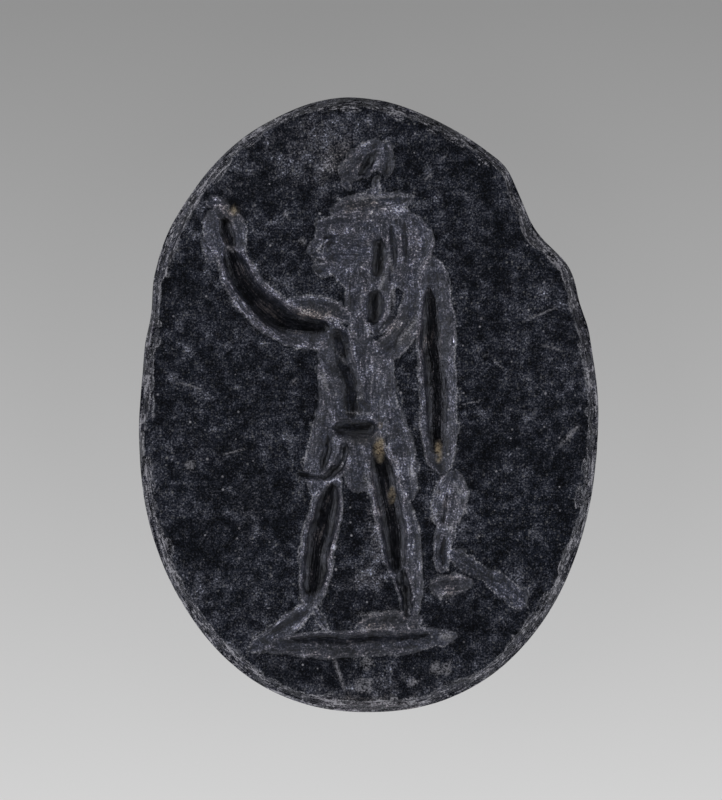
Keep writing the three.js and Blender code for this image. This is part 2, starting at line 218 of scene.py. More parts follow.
CUTS = (
    # Ground and feet
    Cut("ground", Wheel.BROAD, 2.7, ((-20.6, 1.8), (-4, 2.2), (8, 2.7), (19.4, 4))),
    Cut("ground line", Wheel.SOFT, 1.6, ((-14.4, 3), (-4, 2.9), (6, 3.3), (14.4, 4)), 0.4),
    Cut("left foot", Wheel.BROAD, 2, ((-22.6, 0.8), (-16, 4.6), (-9.2, 10.6))),
    Cut("left sole", Wheel.FINE, 0.8, ((-18, 4), (-10.4, 8.8)), 0.5),
    Cut("left heel", Wheel.BROAD, 0.9, ((-9.6, 9.8), (-6.6, 4.6))),
    Cut("right foot", Wheel.BROAD, 1.9, ((-1, 5.6), (5, 6.9), (12.6, 7))),
    # Legs
    Cut("left shin", Wheel.ROUND, 3.5, ((-5.2, 37), (-7.3, 28), (-8.6, 19), (-9.8, 9.4))),
    Cut("left shin floor", Wheel.SLOT, 2.7, ((-5.5, 35), (-7.5, 26), (-9, 17), (-9.6, 11.4)), 0.7),
    Cut("right thigh", Wheel.ROUND, 3.4, ((1, 45.4), (4.8, 35.6), (6.5, 27.4), (8.2, 15))),
    Cut("right thigh floor", Wheel.SLOT, 2.5, ((2.8, 42.6), (6, 30), (7.8, 16.6)), 0.75),
    Cut("right calf", Wheel.DEEP, 1.2, ((8, 18.6), (9.8, 7.6)), 0.6),
    Cut("right leg edge", Wheel.BROAD, 1.8, ((8.8, 32), (10.3, 22), (11, 7))),
    Cut("right leg groove", Wheel.FINE, 0.6, ((9.4, 26), (10.4, 9)), 0.3),
    # Kilt
    Cut("kilt left", Wheel.BROAD, 3.7, ((-5.2, 51), (-6.8, 42), (-8.2, 31))),
    Cut("kilt fold left", Wheel.DEEP, 1.1, ((-6.4, 44.2), (-7.3, 36.6)), 1),
    Cut("kilt fold middle", Wheel.DEEP, 1.2, ((-2.4, 42.4), (-4.4, 37.6), (-7.6, 34.8)), 0.8),
    Cut("kilt hem", Wheel.DEEP, 0.9, ((-12.4, 36.3), (-8, 35.6), (-4.2, 36.8)), 0.5),
    Cut("kilt lap", Wheel.BROAD, 3.3, ((-1, 44), (0.4, 32.4))),
    Cut("hip", Wheel.BROAD, 2.4, ((6.8, 50), (8.4, 41), (10.2, 31))),
    Cut("hip corner", Wheel.BROAD, 1.4, ((7.6, 39.6), (12, 36.8))),
    # Body
    Cut("belly", Wheel.SHALLOW, 7.5, ((-0.9, 63.6), (-0.7, 41.4))),
    Cut("chest", Wheel.ROUND, 3.7, ((-5.8, 66.6), (-4, 57), (-1.6, 46))),
    Cut("breast line", Wheel.SOFT, 2.8, ((-5, 65), (-3.4, 59.2), (-1.9, 53.6), (-1.4, 46.6)), 1.15),
    Cut("right side", Wheel.BROAD, 1.9, ((5, 61), (5.3, 52), (7, 43))),
    Cut("belt", Wheel.SOFT, 1.5, ((-5, 45.6), (2.9, 45.6)), 1.9),
    Cut("belt edge", Wheel.BROAD, 2.6, ((-5.6, 45.2), (3.6, 45.2)), 0.6),
    Cut("waist fold", Wheel.ROUND, 1, ((-3.4, 50), (1.6, 50)), 1.5),
    # Raised arm
    Cut("raised arm", Wheel.ROUND, 4, ((-2.4, 63.8), (-13, 65.2), (-21.8, 72), (-27.4, 83))),
    Cut("raised arm floor", Wheel.SLOT, 2.6, ((-6, 64.8), (-14.6, 66.4), (-22, 72.4), (-26.6, 81.6)), 1.1),
    Cut("shoulder", Wheel.BROAD, 2.1, ((-16.4, 69.4), (-8, 69.4), (-0.6, 66.8))),
    Cut("raised hand", Wheel.BROAD, 3.6, ((-28.9, 89.4), (-25.8, 78.6))),
    Cut("palm edge", Wheel.BROAD, 1.8, ((-25.2, 88.2), (-23.9, 80))),
    Cut("palm", Wheel.SLOT, 1.4, ((-27.6, 87.4), (-25.5, 81)), 0.9),
    Cut("wrist", Wheel.BROAD, 1.4, ((-31.2, 83.2), (-29, 78.8))),
    Cut("fingers", Wheel.SHALLOW, 1.1, ((-30.6, 90.8), (-26.2, 89.2))),
    # Bent arm
    Cut("bent arm", Wheel.ROUND, 2.6, ((10.8, 77), (10.2, 68), (6.8, 62.2), (-0.6, 58))),
    Cut("arm fold", Wheel.FINE, 0.9, ((6.8, 67.6), (3.4, 64.4)), 0.6),
    # Neck, head and hair
    Cut("head", Wheel.LEVEL, 8.6, ((2.4, 92), (2.4, 72))),
    Cut("neck", Wheel.ROUND, 3, ((4.2, 84.6), (3, 64))),
    Cut("throat", Wheel.BROAD, 2.2, ((-1.2, 78), (0.2, 61))),
    Cut("neck pit upper", Wheel.SOFT, 1.4, ((4.2, 83.2), (3.2, 75.6)), 1.5),
    Cut("neck pit lower", Wheel.SOFT, 1.6, ((3.6, 73), (2.6, 66.2)), 1.5),
    Cut("face", Wheel.BROAD, 4.4, ((PROFILE + 1, BROW - 2.4), (3.8, BROW - 2.6))),
    Cut("forehead", Wheel.BROAD, 1.7, ((PROFILE + 1.6, BROW + 3.2), (PROFILE + 1, BROW - 1.2))),
    Cut("jaw", Wheel.BROAD, 2.1, ((PROFILE + 0.4, CHIN + 1.6), (3.2, CHIN + 3))),
    Cut("chin", Wheel.ROUND, 1.3, ((PROFILE - 0.7, CHIN + 0.8), (PROFILE + 3, CHIN + 1))),
    Cut("upper lip", Wheel.FINE, 0.6, ((PROFILE - 1, MOUTH + 0.5), (PROFILE + 1.8, MOUTH + 0.3))),
    Cut("lower lip", Wheel.FINE, 0.6, ((PROFILE - 0.9, MOUTH - 0.8), (PROFILE + 1.6, MOUTH - 0.6))),
    Cut("nose", Wheel.ROUND, 1, ((PROFILE + 0.9, BROW + 0.6), (PROFILE - 1.9, NOSE + 0.3))),
    Cut("nose base", Wheel.ROUND, 0.8, ((PROFILE - 1.7, NOSE + 0.4), (PROFILE + 1.6, NOSE))),
    Cut("eye", Wheel.FINE, 0.7, ((PROFILE + 1.6, BROW - 1.1), (PROFILE + 3.8, BROW - 0.9)), 0.9),
    Cut("eyebrow", Wheel.FINE, 0.5, ((PROFILE + 1, BROW + 0.2), (PROFILE + 4.4, BROW + 0.4)), 0.8),
    Cut("headband", Wheel.BROAD, 2, ((-9, 86), (0, 86.6), (9.4, 88.4))),
    Cut("hair", Wheel.BROAD, 3.2, ((8.2, 89), (11.2, 82), (9.2, 72.4))),
    Cut("hair roll", Wheel.ROUND, 1.7, ((10.6, 87.6), (12.6, 82.4), (11.2, 77.4)), 0.5),
    Cut("hair lock inner", Wheel.FINE, 0.8, ((6.4, 86), (6.6, 80), (6, 74.4)), 0.8),
    Cut("hair lock outer", Wheel.FINE, 0.7, ((9, 86.6), (9.6, 78)), 0.8),
    # Crown
    Cut("cap", Wheel.BROAD, 2.3, ((-6, 88.4), (2, 90), (10.6, 91))),
    Cut("crown stem", Wheel.ROUND, 0.9, ((3.2, 95.6), (3.3, 91.4))),
    Cut("crown foot", Wheel.FINE, 0.6, ((-3.6, 95), (-1.6, 92.4))),
    Cut("crown disc", Wheel.BROAD, 2.9, ((-4, 95.6), (5.4, 102))),
    Cut("crown horn", Wheel.ROUND, 1.7, ((5, 102.8), (5.3, 95.8))),
    Cut("crown slot", Wheel.DEEP, 1.3, ((-0.2, 95.8), (2.8, 99.9)), 0.7),
    # The long upright shaft and what hangs from it
    Cut("shaft", Wheel.LONG, 3.7, ((14.6, 79.2), (15.4, 58), (16, 36.4))),
    Cut("shaft floor", Wheel.SLOT, 2.4, ((14.2, 74.6), (14.5, 62), (15.3, 54), (15.7, 39.6)), 1.1),
    Cut("knot", Wheel.BROAD, 3.5, ((18.8, 36.8), (17.8, 31), (16.6, 25.2))),
    Cut("knot slot", Wheel.DEEP, 0.8, ((17.5, 33.2), (16.5, 26)), 0.8),
    Cut("tassel", Wheel.ROUND, 1.8, ((17, 27.6), (16.1, 16.8))),
    Cut("tassel slot", Wheel.FINE, 0.6, ((16.7, 23.4), (16.4, 18.2)), 0.9),
    Cut("leaf", Wheel.BROAD, 2.1, ((13.8, 13.9), (22.4, 14.6))),
    Cut("tail upper", Wheel.SHALLOW, 1.5, ((17.2, 21.2), (22.2, 18), (27.4, 14.6))),
    Cut("tail lower", Wheel.SHALLOW, 2.1, ((25, 16.2), (29, 13.4), (32.8, 10))),
)


@dataclass(frozen=True)
class Dent:
    """A stretch where the outline is worn or broken away.

    Attributes:
        name: What it is.
        at: Its direction from the stone's middle, in degrees.
        spread: How far it runs to each side, in degrees.
        bite: How deep it is, in millimetres, less than 0 where the outline stands out.
    """

    name: str
    at: float
    spread: float
    bite: float


@dataclass(frozen=True)
class Flake:
    """A flake struck off the edge.

    Attributes:
        at: Its direction from the stone's middle, in degrees.
        length: How long it is along the edge, in millimetres.
        width: Half its width across the edge, in millimetres.
        depth: Its depth, in millimetres.
    """

    at: float
    length: float
    width: float
    depth: float


@dataclass(frozen=True)
class Scratch:
    """A scratch, or, if it has no depth, a painted highlight on a ridge.

    Attributes:
        start: Where it starts, in squares of the grid.
        end: Where it ends, in squares of the grid.
        half: Half its width, in squares of the grid.
        depth: Its depth, in millimetres.
    """

    start: Point
    end: Point
    half: float
    depth: float


@dataclass(frozen=True)
class Spot:
    """A ragged oval place on the face: a pit, a crust, a worn patch, a stain or a tone, the darker tones in
    grooves being painted shade.

    Attributes:
        middle: Where it lies, in squares of the grid.
        reach: Half its width and half its height, in squares of the grid.
        amount: How strong it is.
    """

    middle: Point
    reach: Point
    amount: float


@dataclass
class Outline:
    """The oval outline of the stone, as it is worn today.

    Attributes:
        length: Its full length, in millimetres.
        width: Its full width, in millimetres.
        squareness: 2 for a true ellipse; a little more fills the four shoulders.
        within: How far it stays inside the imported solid, in millimetres.
        nibble: How deep its finest unevenness bites, in millimetres.
        dents: The stretches where it is worn or broken away.
        LAST: The direction just before it comes full circle, in degrees.
    """

    length: float = 16.0
    width: float = 12.0
    squareness: float = 2.22
    within: float = 0.004
    nibble: float = 0.009
    dents: tuple[Dent, ...] = (
        Dent("worn shoulder", 58, 44, 0.4),
        Dent("broken notch", 46, 18, 0.3),
        Dent("deepest part of the notch", 48, 12, 0.1),
        Dent("corner above the notch", 60, 5, -0.04),
        Dent("flat above the notch", 74, 14, 0.06),
        Dent("flat below the notch", 27, 9, 0.1),
        Dent("flat right flank", 18, 20, 0.12),
        Dent("flat left flank", 168, 20, 0.09),
        Dent("flat upper left flank", 157, 9, 0.1),
        Dent("full crown", 94, 16, -0.09),
        Dent("full left shoulder", 140, 12, -0.06),
        Dent("full lower left", 208, 26, -0.06),
    )

    LAST = 359.999

    def reach(self, degrees: np.ndarray) -> np.ndarray:
        """Measures from the middle to the outline.

        Args:
            degrees: The directions to look in.

        Returns:
            The distances in millimetres.
        """
        angle = np.radians(degrees)
        across = np.abs(np.cos(angle)) / (self.width / 2)
        along = np.abs(np.sin(angle)) / (self.length / 2)
        reach = (across**self.squareness + along**self.squareness) ** (-1 / self.squareness)
        for dent in self.dents:
            away = (degrees - dent.at + 180) % 360 - 180
            near = np.abs(away) < dent.spread
            reach = reach - near * dent.bite * np.cos(np.radians(away / dent.spread * 90)) ** 2
        return reach - self.within

    def girth(self, degrees: np.ndarray) -> np.ndarray:
        """Measures along the outline from the right, going round by the top, in millimetres."""
        grid = np.linspace(0, 360, 1441)
        reach = self.reach(grid)
        points = np.column_stack([np.cos(np.radians(grid)), np.sin(np.radians(grid))]) * reach[:, None]
        run = np.r_[0, np.cumsum(np.hypot(*np.diff(points, axis=0).T))]
        return np.interp(degrees % 360, grid, run)

    def away(self, girth: np.ndarray, degrees: float) -> np.ndarray:
        """Measures along the outline from one direction, the shorter way round.

        Args:
            girth: Places along the outline, in millimetres.
            degrees: The direction to measure from.

        Returns:
            The distances in millimetres, less than 0 before that direction.
        """
        start, around = self.girth(np.array([degrees % 360, self.LAST]))
        return (girth - start + around / 2) % around - around / 2

    def ragged(self, girth: np.ndarray) -> np.ndarray:
        """Measures how deep the finest unevenness bites at places along the outline."""
        return self.nibble * (1 + Grain(21).rough(girth, 0 * girth, 0.5)) / 2


@dataclass
class Sunk:
    """What the wheels left at a set of places, in millimetres.

    Attributes:
        depth: How far the surface lies under the face.
        along: The place along the stroke that cut deepest there.
        across: The place across that stroke.
        bed: 1 on the flat floor of a slot, 0 elsewhere.
        clear: The distance from the nearest rim with its chips, less than 0 inside a cut.
    """

    depth: np.ndarray
    along: np.ndarray
    across: np.ndarray
    bed: np.ndarray
    clear: np.ndarray


@dataclass
class Engraving:
    """The figure, drawn on a squared grid: x to the right of its axis, y up from its ground.

    Attributes:
        stone_length: The length of the stone that it fills, in millimetres.
        margin_top: The plain field above it, in millimetres.
        margin_foot: The plain field below it, in millimetres.
        rows: How many squares tall it is.
        column: How many squares its axis stands from the stone's own.
        rounding: How far a rim and a ridge are rounded, in millimetres.
        wander: How far the hand strayed from the true line, in millimetres.
        chipping: How wide the largest chips along the rims are, in millimetres.
        whole_rim: How strong their unevenness has to be before a rim is chipped.
        chip_slope: How steep those chips are.
        tooling: How uneven the wheel left the bottom of a cut, in millimetres.
        cuts: The wheel's cuts, in the order in which they were made.
        SWAY: The pitches of the hand's unsteadiness, in millimetres, and their strengths.
        STEADY: The wheels that were held steadily, whose cuts stray only in the slowest of these.
        CHIPPED: The pitches at which a rim's chips vary, in millimetres, and their strengths.
        TOOLED: The pitches of the unevenness at the bottom of a cut and their strengths.
        FLANK: How far round a cut its flank is worked out, in millimetres.
        FAR: A distance from the rims that is as good as endless, in millimetres.
    """

    stone_length: float = 16.0
    margin_top: float = 1.06
    margin_foot: float = 1.48
    rows: float = 103
    column: float = -1.7
    rounding: float = 0.016
    wander: float = 0.04
    chipping: float = 0.11
    whole_rim: float = 0.3
    chip_slope: float = 0.4
    tooling: float = 0.012
    cuts: tuple[Cut, ...] = CUTS

    SWAY = ((0.55, 1), (0.17, 0.6), (0.08, 0.3))
    STEADY = (Wheel.SLOT, Wheel.SOFT)
    CHIPPED = ((0.2, 1), (0.09, 0.8))
    TOOLED = ((0.26, 1), (0.12, 0.8), (0.07, 0.6))
    FLANK = 0.35
    FAR = 9.0

    @property
    def square(self) -> float:
        """The side of one square of the grid, in millimetres."""
        return (self.stone_length - self.margin_top - self.margin_foot) / self.rows

    def place(self, point: Point) -> np.ndarray:
        """Turns a point of the grid into millimetres from the stone's middle."""
        x, y = point
        ground = self.margin_foot - self.stone_length / 2
        return np.array([(x + self.column) * self.square, ground + y * self.square])

    def sink(self, x: np.ndarray, y: np.ndarray) -> Sunk:
        """Works out what the wheels left.

        Args:
            x: Places across the stone, in millimetres.
            y: Places up the stone, in millimetres.

        Returns:
            The depth there and what goes with it.
        """
        sway, shake = Grain(11), Grain(12)
        steady, loose = (
            (x + self.wander * sway.layered(x, y, layers), y + self.wander * shake.layered(x, y, layers))
            for layers in (self.SWAY[:1], self.SWAY)
        )
        sunk = Sunk(*(np.zeros_like(x) for _ in range(4)), np.full_like(x, self.FAR))
        deepest = np.zeros_like(x)
        for cut in self.cuts:
            self._cut(cut, *(steady if cut.wheel in self.STEADY else loose), sunk, deepest)
        width = self.chipping * np.clip(Grain(13).layered(x, y, self.CHIPPED) - self.whole_rim, 0, 1)
        chipped = self.chip_slope * (width - np.maximum(sunk.clear, 0))
        sunk.depth = np.maximum(soft_deeper(sunk.depth, chipped, self.rounding / 2), 0)
        sunk.clear -= width
        uneven = Grain(14).layered(x, y, self.TOOLED)
        sunk.depth += self.tooling * uneven * blend_in(sunk.depth, 0.0, 0.08) * (1 - 0.6 * sunk.bed)
        return sunk

    def _cut(self, cut: Cut, x: np.ndarray, y: np.ndarray, sunk: Sunk, deepest: np.ndarray) -> None:
        """Sinks one cut into what the earlier ones left.

        Args:
            cut: The cut to make.
            x: Places across the stone, in millimetres.
            y: Places up the stone, in millimetres.
            sunk: What the earlier cuts left, which is changed.
            deepest: The depth of the deepest stroke so far, which is changed.
        """
        fullness, flatness, squareness, smooth = cut.wheel.value
        line = np.array([self.place(point) for point in cut.route()])
        half, start = cut.half * self.square, cut.floor * self.square
        spare = half + self.FLANK
        (left, low), (right, high) = line.min(0) - spare, line.max(0) + spare
        near = np.flatnonzero((x > left) & (x < right) & (y > low) & (y < high))
        if not len(near):
            return
        place = np.column_stack([x[near], y[near]])
        legs = np.diff(line, axis=0)
        long2 = (legs**2).sum(1)
        away = place[:, None, :] - line[None, :-1, :]
        share = np.clip((away * legs).sum(2) / long2, 0, 1)
        gap2 = ((away - share[..., None] * legs) ** 2).sum(2)
        leg = gap2.argmin(1)
        rows = np.arange(len(near))
        gap = np.sqrt(gap2[rows, leg])
        run = (leg + share[rows, leg]) / len(legs)
        side = np.sign(legs[leg, 0] * away[rows, leg, 1] - legs[leg, 1] * away[rows, leg, 0])
        reach = half * np.sqrt(np.clip(1 - np.abs(2 * run - 1) ** squareness, 1e-6, None))
        hollow = start + reach * fullness * (1 - np.minimum(gap / reach, 1) ** flatness)
        flank = start - (gap - reach) * flatness * fullness
        depth = np.where(gap < reach, hollow, flank)
        sunk.depth[near] = soft_deeper(sunk.depth[near], depth, self.rounding)
        if not cut.floor:
            sunk.clear[near] = np.minimum(sunk.clear[near], gap - reach)
        leads = depth > deepest[near]
        won = near[leads]
        deepest[won] = depth[leads]
        sunk.along[won] = (run * math.sqrt(long2.sum() * len(legs)))[leads]
        sunk.across[won] = (side * gap)[leads]
        sunk.bed[won] = smooth * blend_in(1.25 - gap / reach, 0.0, 0.65)[leads]


@dataclass
class WearAndPaintedLight:
    """The marks that use and burial left on the polished face, with painted highlights and painted shade
    among them.

    Attributes:
        scratches: The scratches, and the painted highlights on ridges where they have no depth, long enough
            to see one by one.
        pits: Small round losses, their amount being their depth in millimetres.
        patches: Places where the polish is worn rough, their amount being how rough.
        crusts: Tan crusts of burial earth, their amount being how thick in millimetres.
        stains: Places that are faintly brown, their amount being how brown.
        tones: Lighter and darker places, their amount being how much lighter; the darker ones over grooves
            and pits are painted shade.
        waver: How far a scratch strays from its line, in millimetres.
        ragged: How ragged a spot's border is, as a share of its reach.
        full_crust: The thickness from which a crust hides the stone, in millimetres.
    """

    scratches: tuple[Scratch, ...] = (
        Scratch((32.6, 66.6), (39.4, 69.6), 0.26, 0.014),
        Scratch((10, 91), (18, 101), 0.16, 0.006),
        Scratch((-5.4, 0), (-3, -7), 0.5, 0.014),
        Scratch((-27.6, 40), (-22.4, 41.4), 0.3, 0.01),
        Scratch((20, 50), (24.6, 51), 0.16, 0.006),
        Scratch((-36.6, 54.6), (-31, 53), 0.2, 0.008),
        Scratch((-26.4, 70.4), (-24, 71.6), 0.24, 0.008),
        Scratch((-27, 93.4), (-25, 92), 0.22, 0.008),
        Scratch((5.8, 80), (6.6, 76), 0.6, 0),
        Scratch((5, 76.4), (3.8, 72.6), 0.7, 0),
        Scratch((6.6, 74.4), (6.7, 69.4), 0.4, 0),
        Scratch((11.6, 67.6), (7.4, 62), 0.8, 0),
        Scratch((-7.8, 57.2), (-6.6, 52.6), 0.8, 0),
        Scratch((0.6, 36), (2.4, 33.4), 0.8, 0),
        Scratch((10, 38), (10.8, 35), 1.0, 0),
        Scratch((-5, 61), (-2.6, 58), 0.3, 0),
        Scratch((15.2, 28.6), (14.2, 26.6), 1.0, 0),
        Scratch((18.6, 26.2), (17.4, 24.8), 1.2, 0),
        Scratch((18.2, 34.6), (20.6, 32), 0.8, 0),
        Scratch((14.8, 32.9), (16.4, 32), 0.7, 0),
        Scratch((15.6, 4), (18.6, 3.6), 1.2, 0),
        Scratch((-1, 8), (4, 8.6), 0.5, 0),
        Scratch((-1.6, 91.2), (10, 91.8), 0.35, 0),
        Scratch((-0.8, 51.4), (0.8, 51.6), 0.3, 0),
        Scratch((-3, 48.5), (3, 48.2), 0.4, 0),
        Scratch((-16.2, 90), (-13, 85.4), 0.24, 0.006),
        Scratch((-13.6, 54.2), (-12.6, 55.2), 0.5, 0.006),
        Scratch((-26.8, 81.8), (-25, 80.4), 0.24, 0),
        Scratch((36, 62), (40.6, 60.8), 0.16, 0.004),
        Scratch((25, 60), (29, 57), 0.16, 0.004),
        Scratch((39.6, 41.6), (43.6, 46), 0.5, 0.004),
    )
    pits: tuple[Spot, ...] = (
        Spot((1, -6), (2, 1.6), 0.016),
        Spot((1.4, -1.6), (1.2, 1.8), 0.01),
        Spot((10.4, -5.4), (1.1, 1), 0.01),
        Spot((16, -2.6), (2.6, 1.8), 0.012),
        Spot((-33.8, 38), (1.1, 1), 0.02),
        Spot((-11.6, 82.6), (1.2, 1), 0.02),
    )
    patches: tuple[Spot, ...] = (
        Spot((-10, 100), (13, 13), 1.0),
        Spot((-22, 96), (9, 6), 0.7),
        Spot((4, 21), (3.4, 12), 0.9),
        Spot((-1, 15), (6, 3), 0.8),
        Spot((-22, 29), (4, 9), 0.7),
        Spot((-21, 9), (6, 8), 0.5),
        Spot((-16, -3), (8, 3), 0.5),
        Spot((10, -5), (14, 4), 0.5),
        Spot((-36, 88), (5, 7), 0.6),
        Spot((32, 14), (5, 5), 0.4),
    )
    crusts: tuple[Spot, ...] = (
        Spot((3.9, 40.9), (1.7, 2.7), 0.03),
        Spot((6.3, 32), (0.9, 1.8), 0.02),
        Spot((15.7, 40.8), (1.1, 2.4), 0.03),
        Spot((-25.2, 88.6), (1.4, 1), 0.02),
        Spot((4.1, 46), (0.8, 0.7), 0.02),
    )
    stains: tuple[Spot, ...] = (
        Spot((-9, 68.6), (8, 2.4), 1.0),
        Spot((1, 90), (6, 3), 1.0),
        Spot((0, 43.4), (5, 2), 1.0),
        Spot((4, 7), (8, 3), 0.8),
        Spot((8, 64), (5, 4.6), 0.7),
        Spot((-4, 98), (6, 5), 0.5),
        Spot((18, 14.2), (6, 3), 0.5),
        Spot((0, -10), (20, 3), 0.7),
        Spot((-4, 1), (18, 3), 0.4),
        Spot((-26, 88), (4, 3), 0.6),
    )
    tones: tuple[Spot, ...] = (
        Spot((-9, 68.6), (9, 3), 0.3),
        Spot((11.4, 82), (4, 7), 1.05),
        Spot((-3, 81), (6, 5), 0.2),
        Spot((2, 88), (11, 4), 0.3),
        Spot((18, 30), (5, 9), 1.1),
        Spot((3, 57), (5, 9), 0.3),
        Spot((-20, 72), (13, 12), 0.35),
        Spot((18, 14.2), (6, 3), 1.2),
        Spot((17.6, 14.6), (2.4, 1), -0.7),
        Spot((27, 15), (8, 5), -0.25),
        # Painted shade over the breast line.
        Spot((-4, 61.5), (2.6, 5), -0.7),
        Spot((-2.4, 56), (2.6, 5.4), -0.7),
        Spot((9, 40), (3, 9), 0.35),
        Spot((-30.2, 81), (2, 4), 0.5),
        Spot((-24.4, 84.4), (2.4, 5), -0.3),
        Spot((11.9, 57), (1.6, 20), 0.25),
        # Painted shade over the waist fold, the belt and the neck pits.
        Spot((-1.2, 50), (4.4, 5), -1.5),
        Spot((-1, 45.7), (4.4, 1.5), -1.3),
        Spot((3.7, 79.4), (2, 4.6), -1.3),
        Spot((3.1, 69.6), (2.2, 4.2), -1.3),
        Spot((2.7, 25.6), (2.6, 8), 1.3),
        Spot((1.6, 15), (4.5, 5), 1.0),
        Spot((-6.4, 40), (5, 6), -0.3),
        # Painted shade under the belt and along the calf.
        Spot((-0.4, 43.2), (5, 2), -1.5),
        Spot((8.9, 13), (1.3, 6), -1.2),
        Spot((-1, 2), (19, 3.4), -0.35),
        Spot((26, 26), (9, 12), -0.3),
        Spot((38, 26), (9, 14), -0.55),
        Spot((0, -8), (30, 7), 0.55),
        Spot((-6, 104), (20, 6), 0.4),
        Spot((-2, 111), (16, 3.6), -1.4),
        Spot((17, 108), (10, 5), -1.2),
        Spot((-17, 107), (8, 4), -0.6),
        Spot((-33, 92), (7, 9), 0.5),
        Spot((45, 60), (4, 14), 0.5),
        Spot((-33, 12), (8, 9), 0.4),
        Spot((2, -10.6), (18, 2.4), 0.5),
    )
    waver: float = 0.008
    ragged: float = 0.45
    full_crust: float = 0.02


@dataclass(frozen=True)
class Ring:
    """One ring of the stone's side: how far it is inset and how high it lies, in millimetres."""

    inset: float
    height: float


@dataclass
class Places:
    """Where each vertex of the stone goes, and what the finish has to know there.

    Attributes:
        spots: The vertices in millimetres, one row each.
        traits: One number for each vertex, by the name of the trait.
    """

    spots: np.ndarray
    traits: dict[str, np.ndarray]


@dataclass
class EngravedGem:
    """The stone: a polished face with the figure in it, a chipped bevel, a girdle and a back.

    Attributes:
        outline: Its outline.
        engraving: The figure in its face.
        wear_and_painted_light: The marks on its face, with painted highlights and shade.
        thickness: How thick it is, in millimetres.
        bevel_width: How wide the bevel round the face is, in millimetres.
        bevel_drop: How far the bevel drops, in millimetres.
        bevel_run: What its width is multiplied by, direction by direction in degrees.
        bevel_sway: How far its width varies over a long stretch, as a share of it.
        bevel_nicks: How far its width varies over a short stretch, as a share of it.
        bevel_steps: How high the steps on it are, in millimetres.
        cells: How many cells the face has each way before it is refined.
        most_faces: How many faces the face may have once it is refined.
        side: The rings below the outline, from the girdle to the back.
        side_sway: How uneven the side is, in millimetres.
        edge_feel: How far away from a place an edge is felt for, in millimetres.
        edge_rise: How far a full edge stands above the places round it, in millimetres.
        hollow_feel: How far away from a place a hollow is felt for, in millimetres.
        hollow_sink: How far a full hollow lies below the places round it, in millimetres.
        hummocks: How uneven the polish left the face, in millimetres.
        flaked: How far in from the outline the flakes reach, in millimetres.
        small_flakes: How many small flakes the edge has lost.
        small_length: Their least and greatest length, in millimetres.
        small_width: Half their least and greatest width, in millimetres.
        small_depth: Their least and greatest depth, as a share of half their width.
        small_inset: How far in from the outline they lie at least and at most, in millimetres.
        flakes: The large flakes that it has lost.
        PASSES: What share of most_faces each round of refining may reach.
        FACES_GAINED: How many faces a subdivided cell adds, with its neighbours' new triangles.
        LEAST_BEND: The bend that isn't worth a subdivision, in millimetres.
        BORDER_CELL: The share of a first cell's size under which a border cell isn't split again.
        SMOOTH_ANGLE: The angle up to which an edge is shaded smooth, in degrees.
        LARGE_LIFT: How far a large flake's middle lies off the bevel's, as a share of the flake.
        SMALL_LIFT: How far a small flake's middle stands above the bevel, as a share of its depth.
        FULL_RELIEF: How many bevel widths in from the outline the relief is at its full depth.
        FULL_CUT: The depth from which a place has the colour of a cut, in millimetres.
        FULL_BEVEL: The depth from which a place has the colour of the bevel, in millimetres.
        SUNKEN: The depth below which the face's own unevenness is cut away, in millimetres.
    """

    outline: Outline = field(default_factory=Outline)
    engraving: Engraving = field(default_factory=Engraving)
    wear_and_painted_light: WearAndPaintedLight = field(default_factory=WearAndPaintedLight)
    thickness: float = 3.0
    bevel_width: float = 0.24
    bevel_drop: float = 0.22
    bevel_sway: float = 0.24
    bevel_nicks: float = 0.14
    bevel_steps: float = 0.03
    bevel_run: tuple[Point, ...] = (
        (0, 1.15), (40, 1.0), (62, 0.85), (100, 0.85), (126, 1.1), (142, 1.45), (156, 0.9), (172, 0.6),
        (190, 0.6), (206, 0.9), (228, 1.15), (262, 1.2), (290, 1.1), (330, 1.0), (360, 1.15),
    )
    cells: int = 150
    most_faces: int = 80000
    side: tuple[Ring, ...] = (
        Ring(0.002, 2.42),
        Ring(0.01, 2.32),
        Ring(0.03, 2.15),
        Ring(0.1, 1.88),
        Ring(0.2, 1.52),
        Ring(0.3, 1.14),
        Ring(0.4, 0.76),
        Ring(0.48, 0.44),
        Ring(0.55, 0.18),
        Ring(0.64, 0.08),
        Ring(0.75, 0.0),
    )
    side_sway: float = 0.016
    edge_feel: float = 0.034
    edge_rise: float = 0.006
    hollow_feel: float = 0.17
    hollow_sink: float = 0.05
    hummocks: float = 0.004
    flaked: float = 0.6
    small_flakes: int = 150
    small_length: Point = (0.16, 0.9)
    small_width: Point = (0.04, 0.13)
    small_depth: Point = (0.5, 1.1)
    small_inset: Point = (0.05, 0.34)
    flakes: tuple[Flake, ...] = (
        Flake(47, 1.5, 0.34, 0.5),
        Flake(56, 1.1, 0.22, 0.3),
        Flake(23, 2.3, 0.2, 0.32),
        Flake(350, 0.9, 0.22, 0.3),
        Flake(322, 1.2, 0.22, 0.34),
        Flake(303, 1.9, 0.3, 0.34),
        Flake(286, 1.5, 0.34, 0.3),
        Flake(243, 1.8, 0.3, 0.3),
        Flake(212, 1.6, 0.2, 0.28),
        Flake(178, 1.4, 0.16, 0.28),
        Flake(141, 2.6, 0.34, 0.42),
    )

    PASSES = (0.6, 1.0)
    FACES_GAINED = 3.4
    LEAST_BEND = 1e-4
    BORDER_CELL = 0.7
    SMOOTH_ANGLE = 42
    LARGE_LIFT = 0.3
    SMALL_LIFT = 0.45
    FULL_RELIEF = 1.6
    FULL_CUT = 0.022
    FULL_BEVEL = 0.03
    SUNKEN = 0.05

    def build(self) -> bpy.types.Object:
        """Models the stone.

        Returns:
            The finished object, without its material.
        """
        stone = self._grid()
        for share in self.PASSES:
            self._refine(stone, int(self.most_faces * share))
        self._extrude_side()
        self._shape(stone)
        self._close(stone)
        return stone

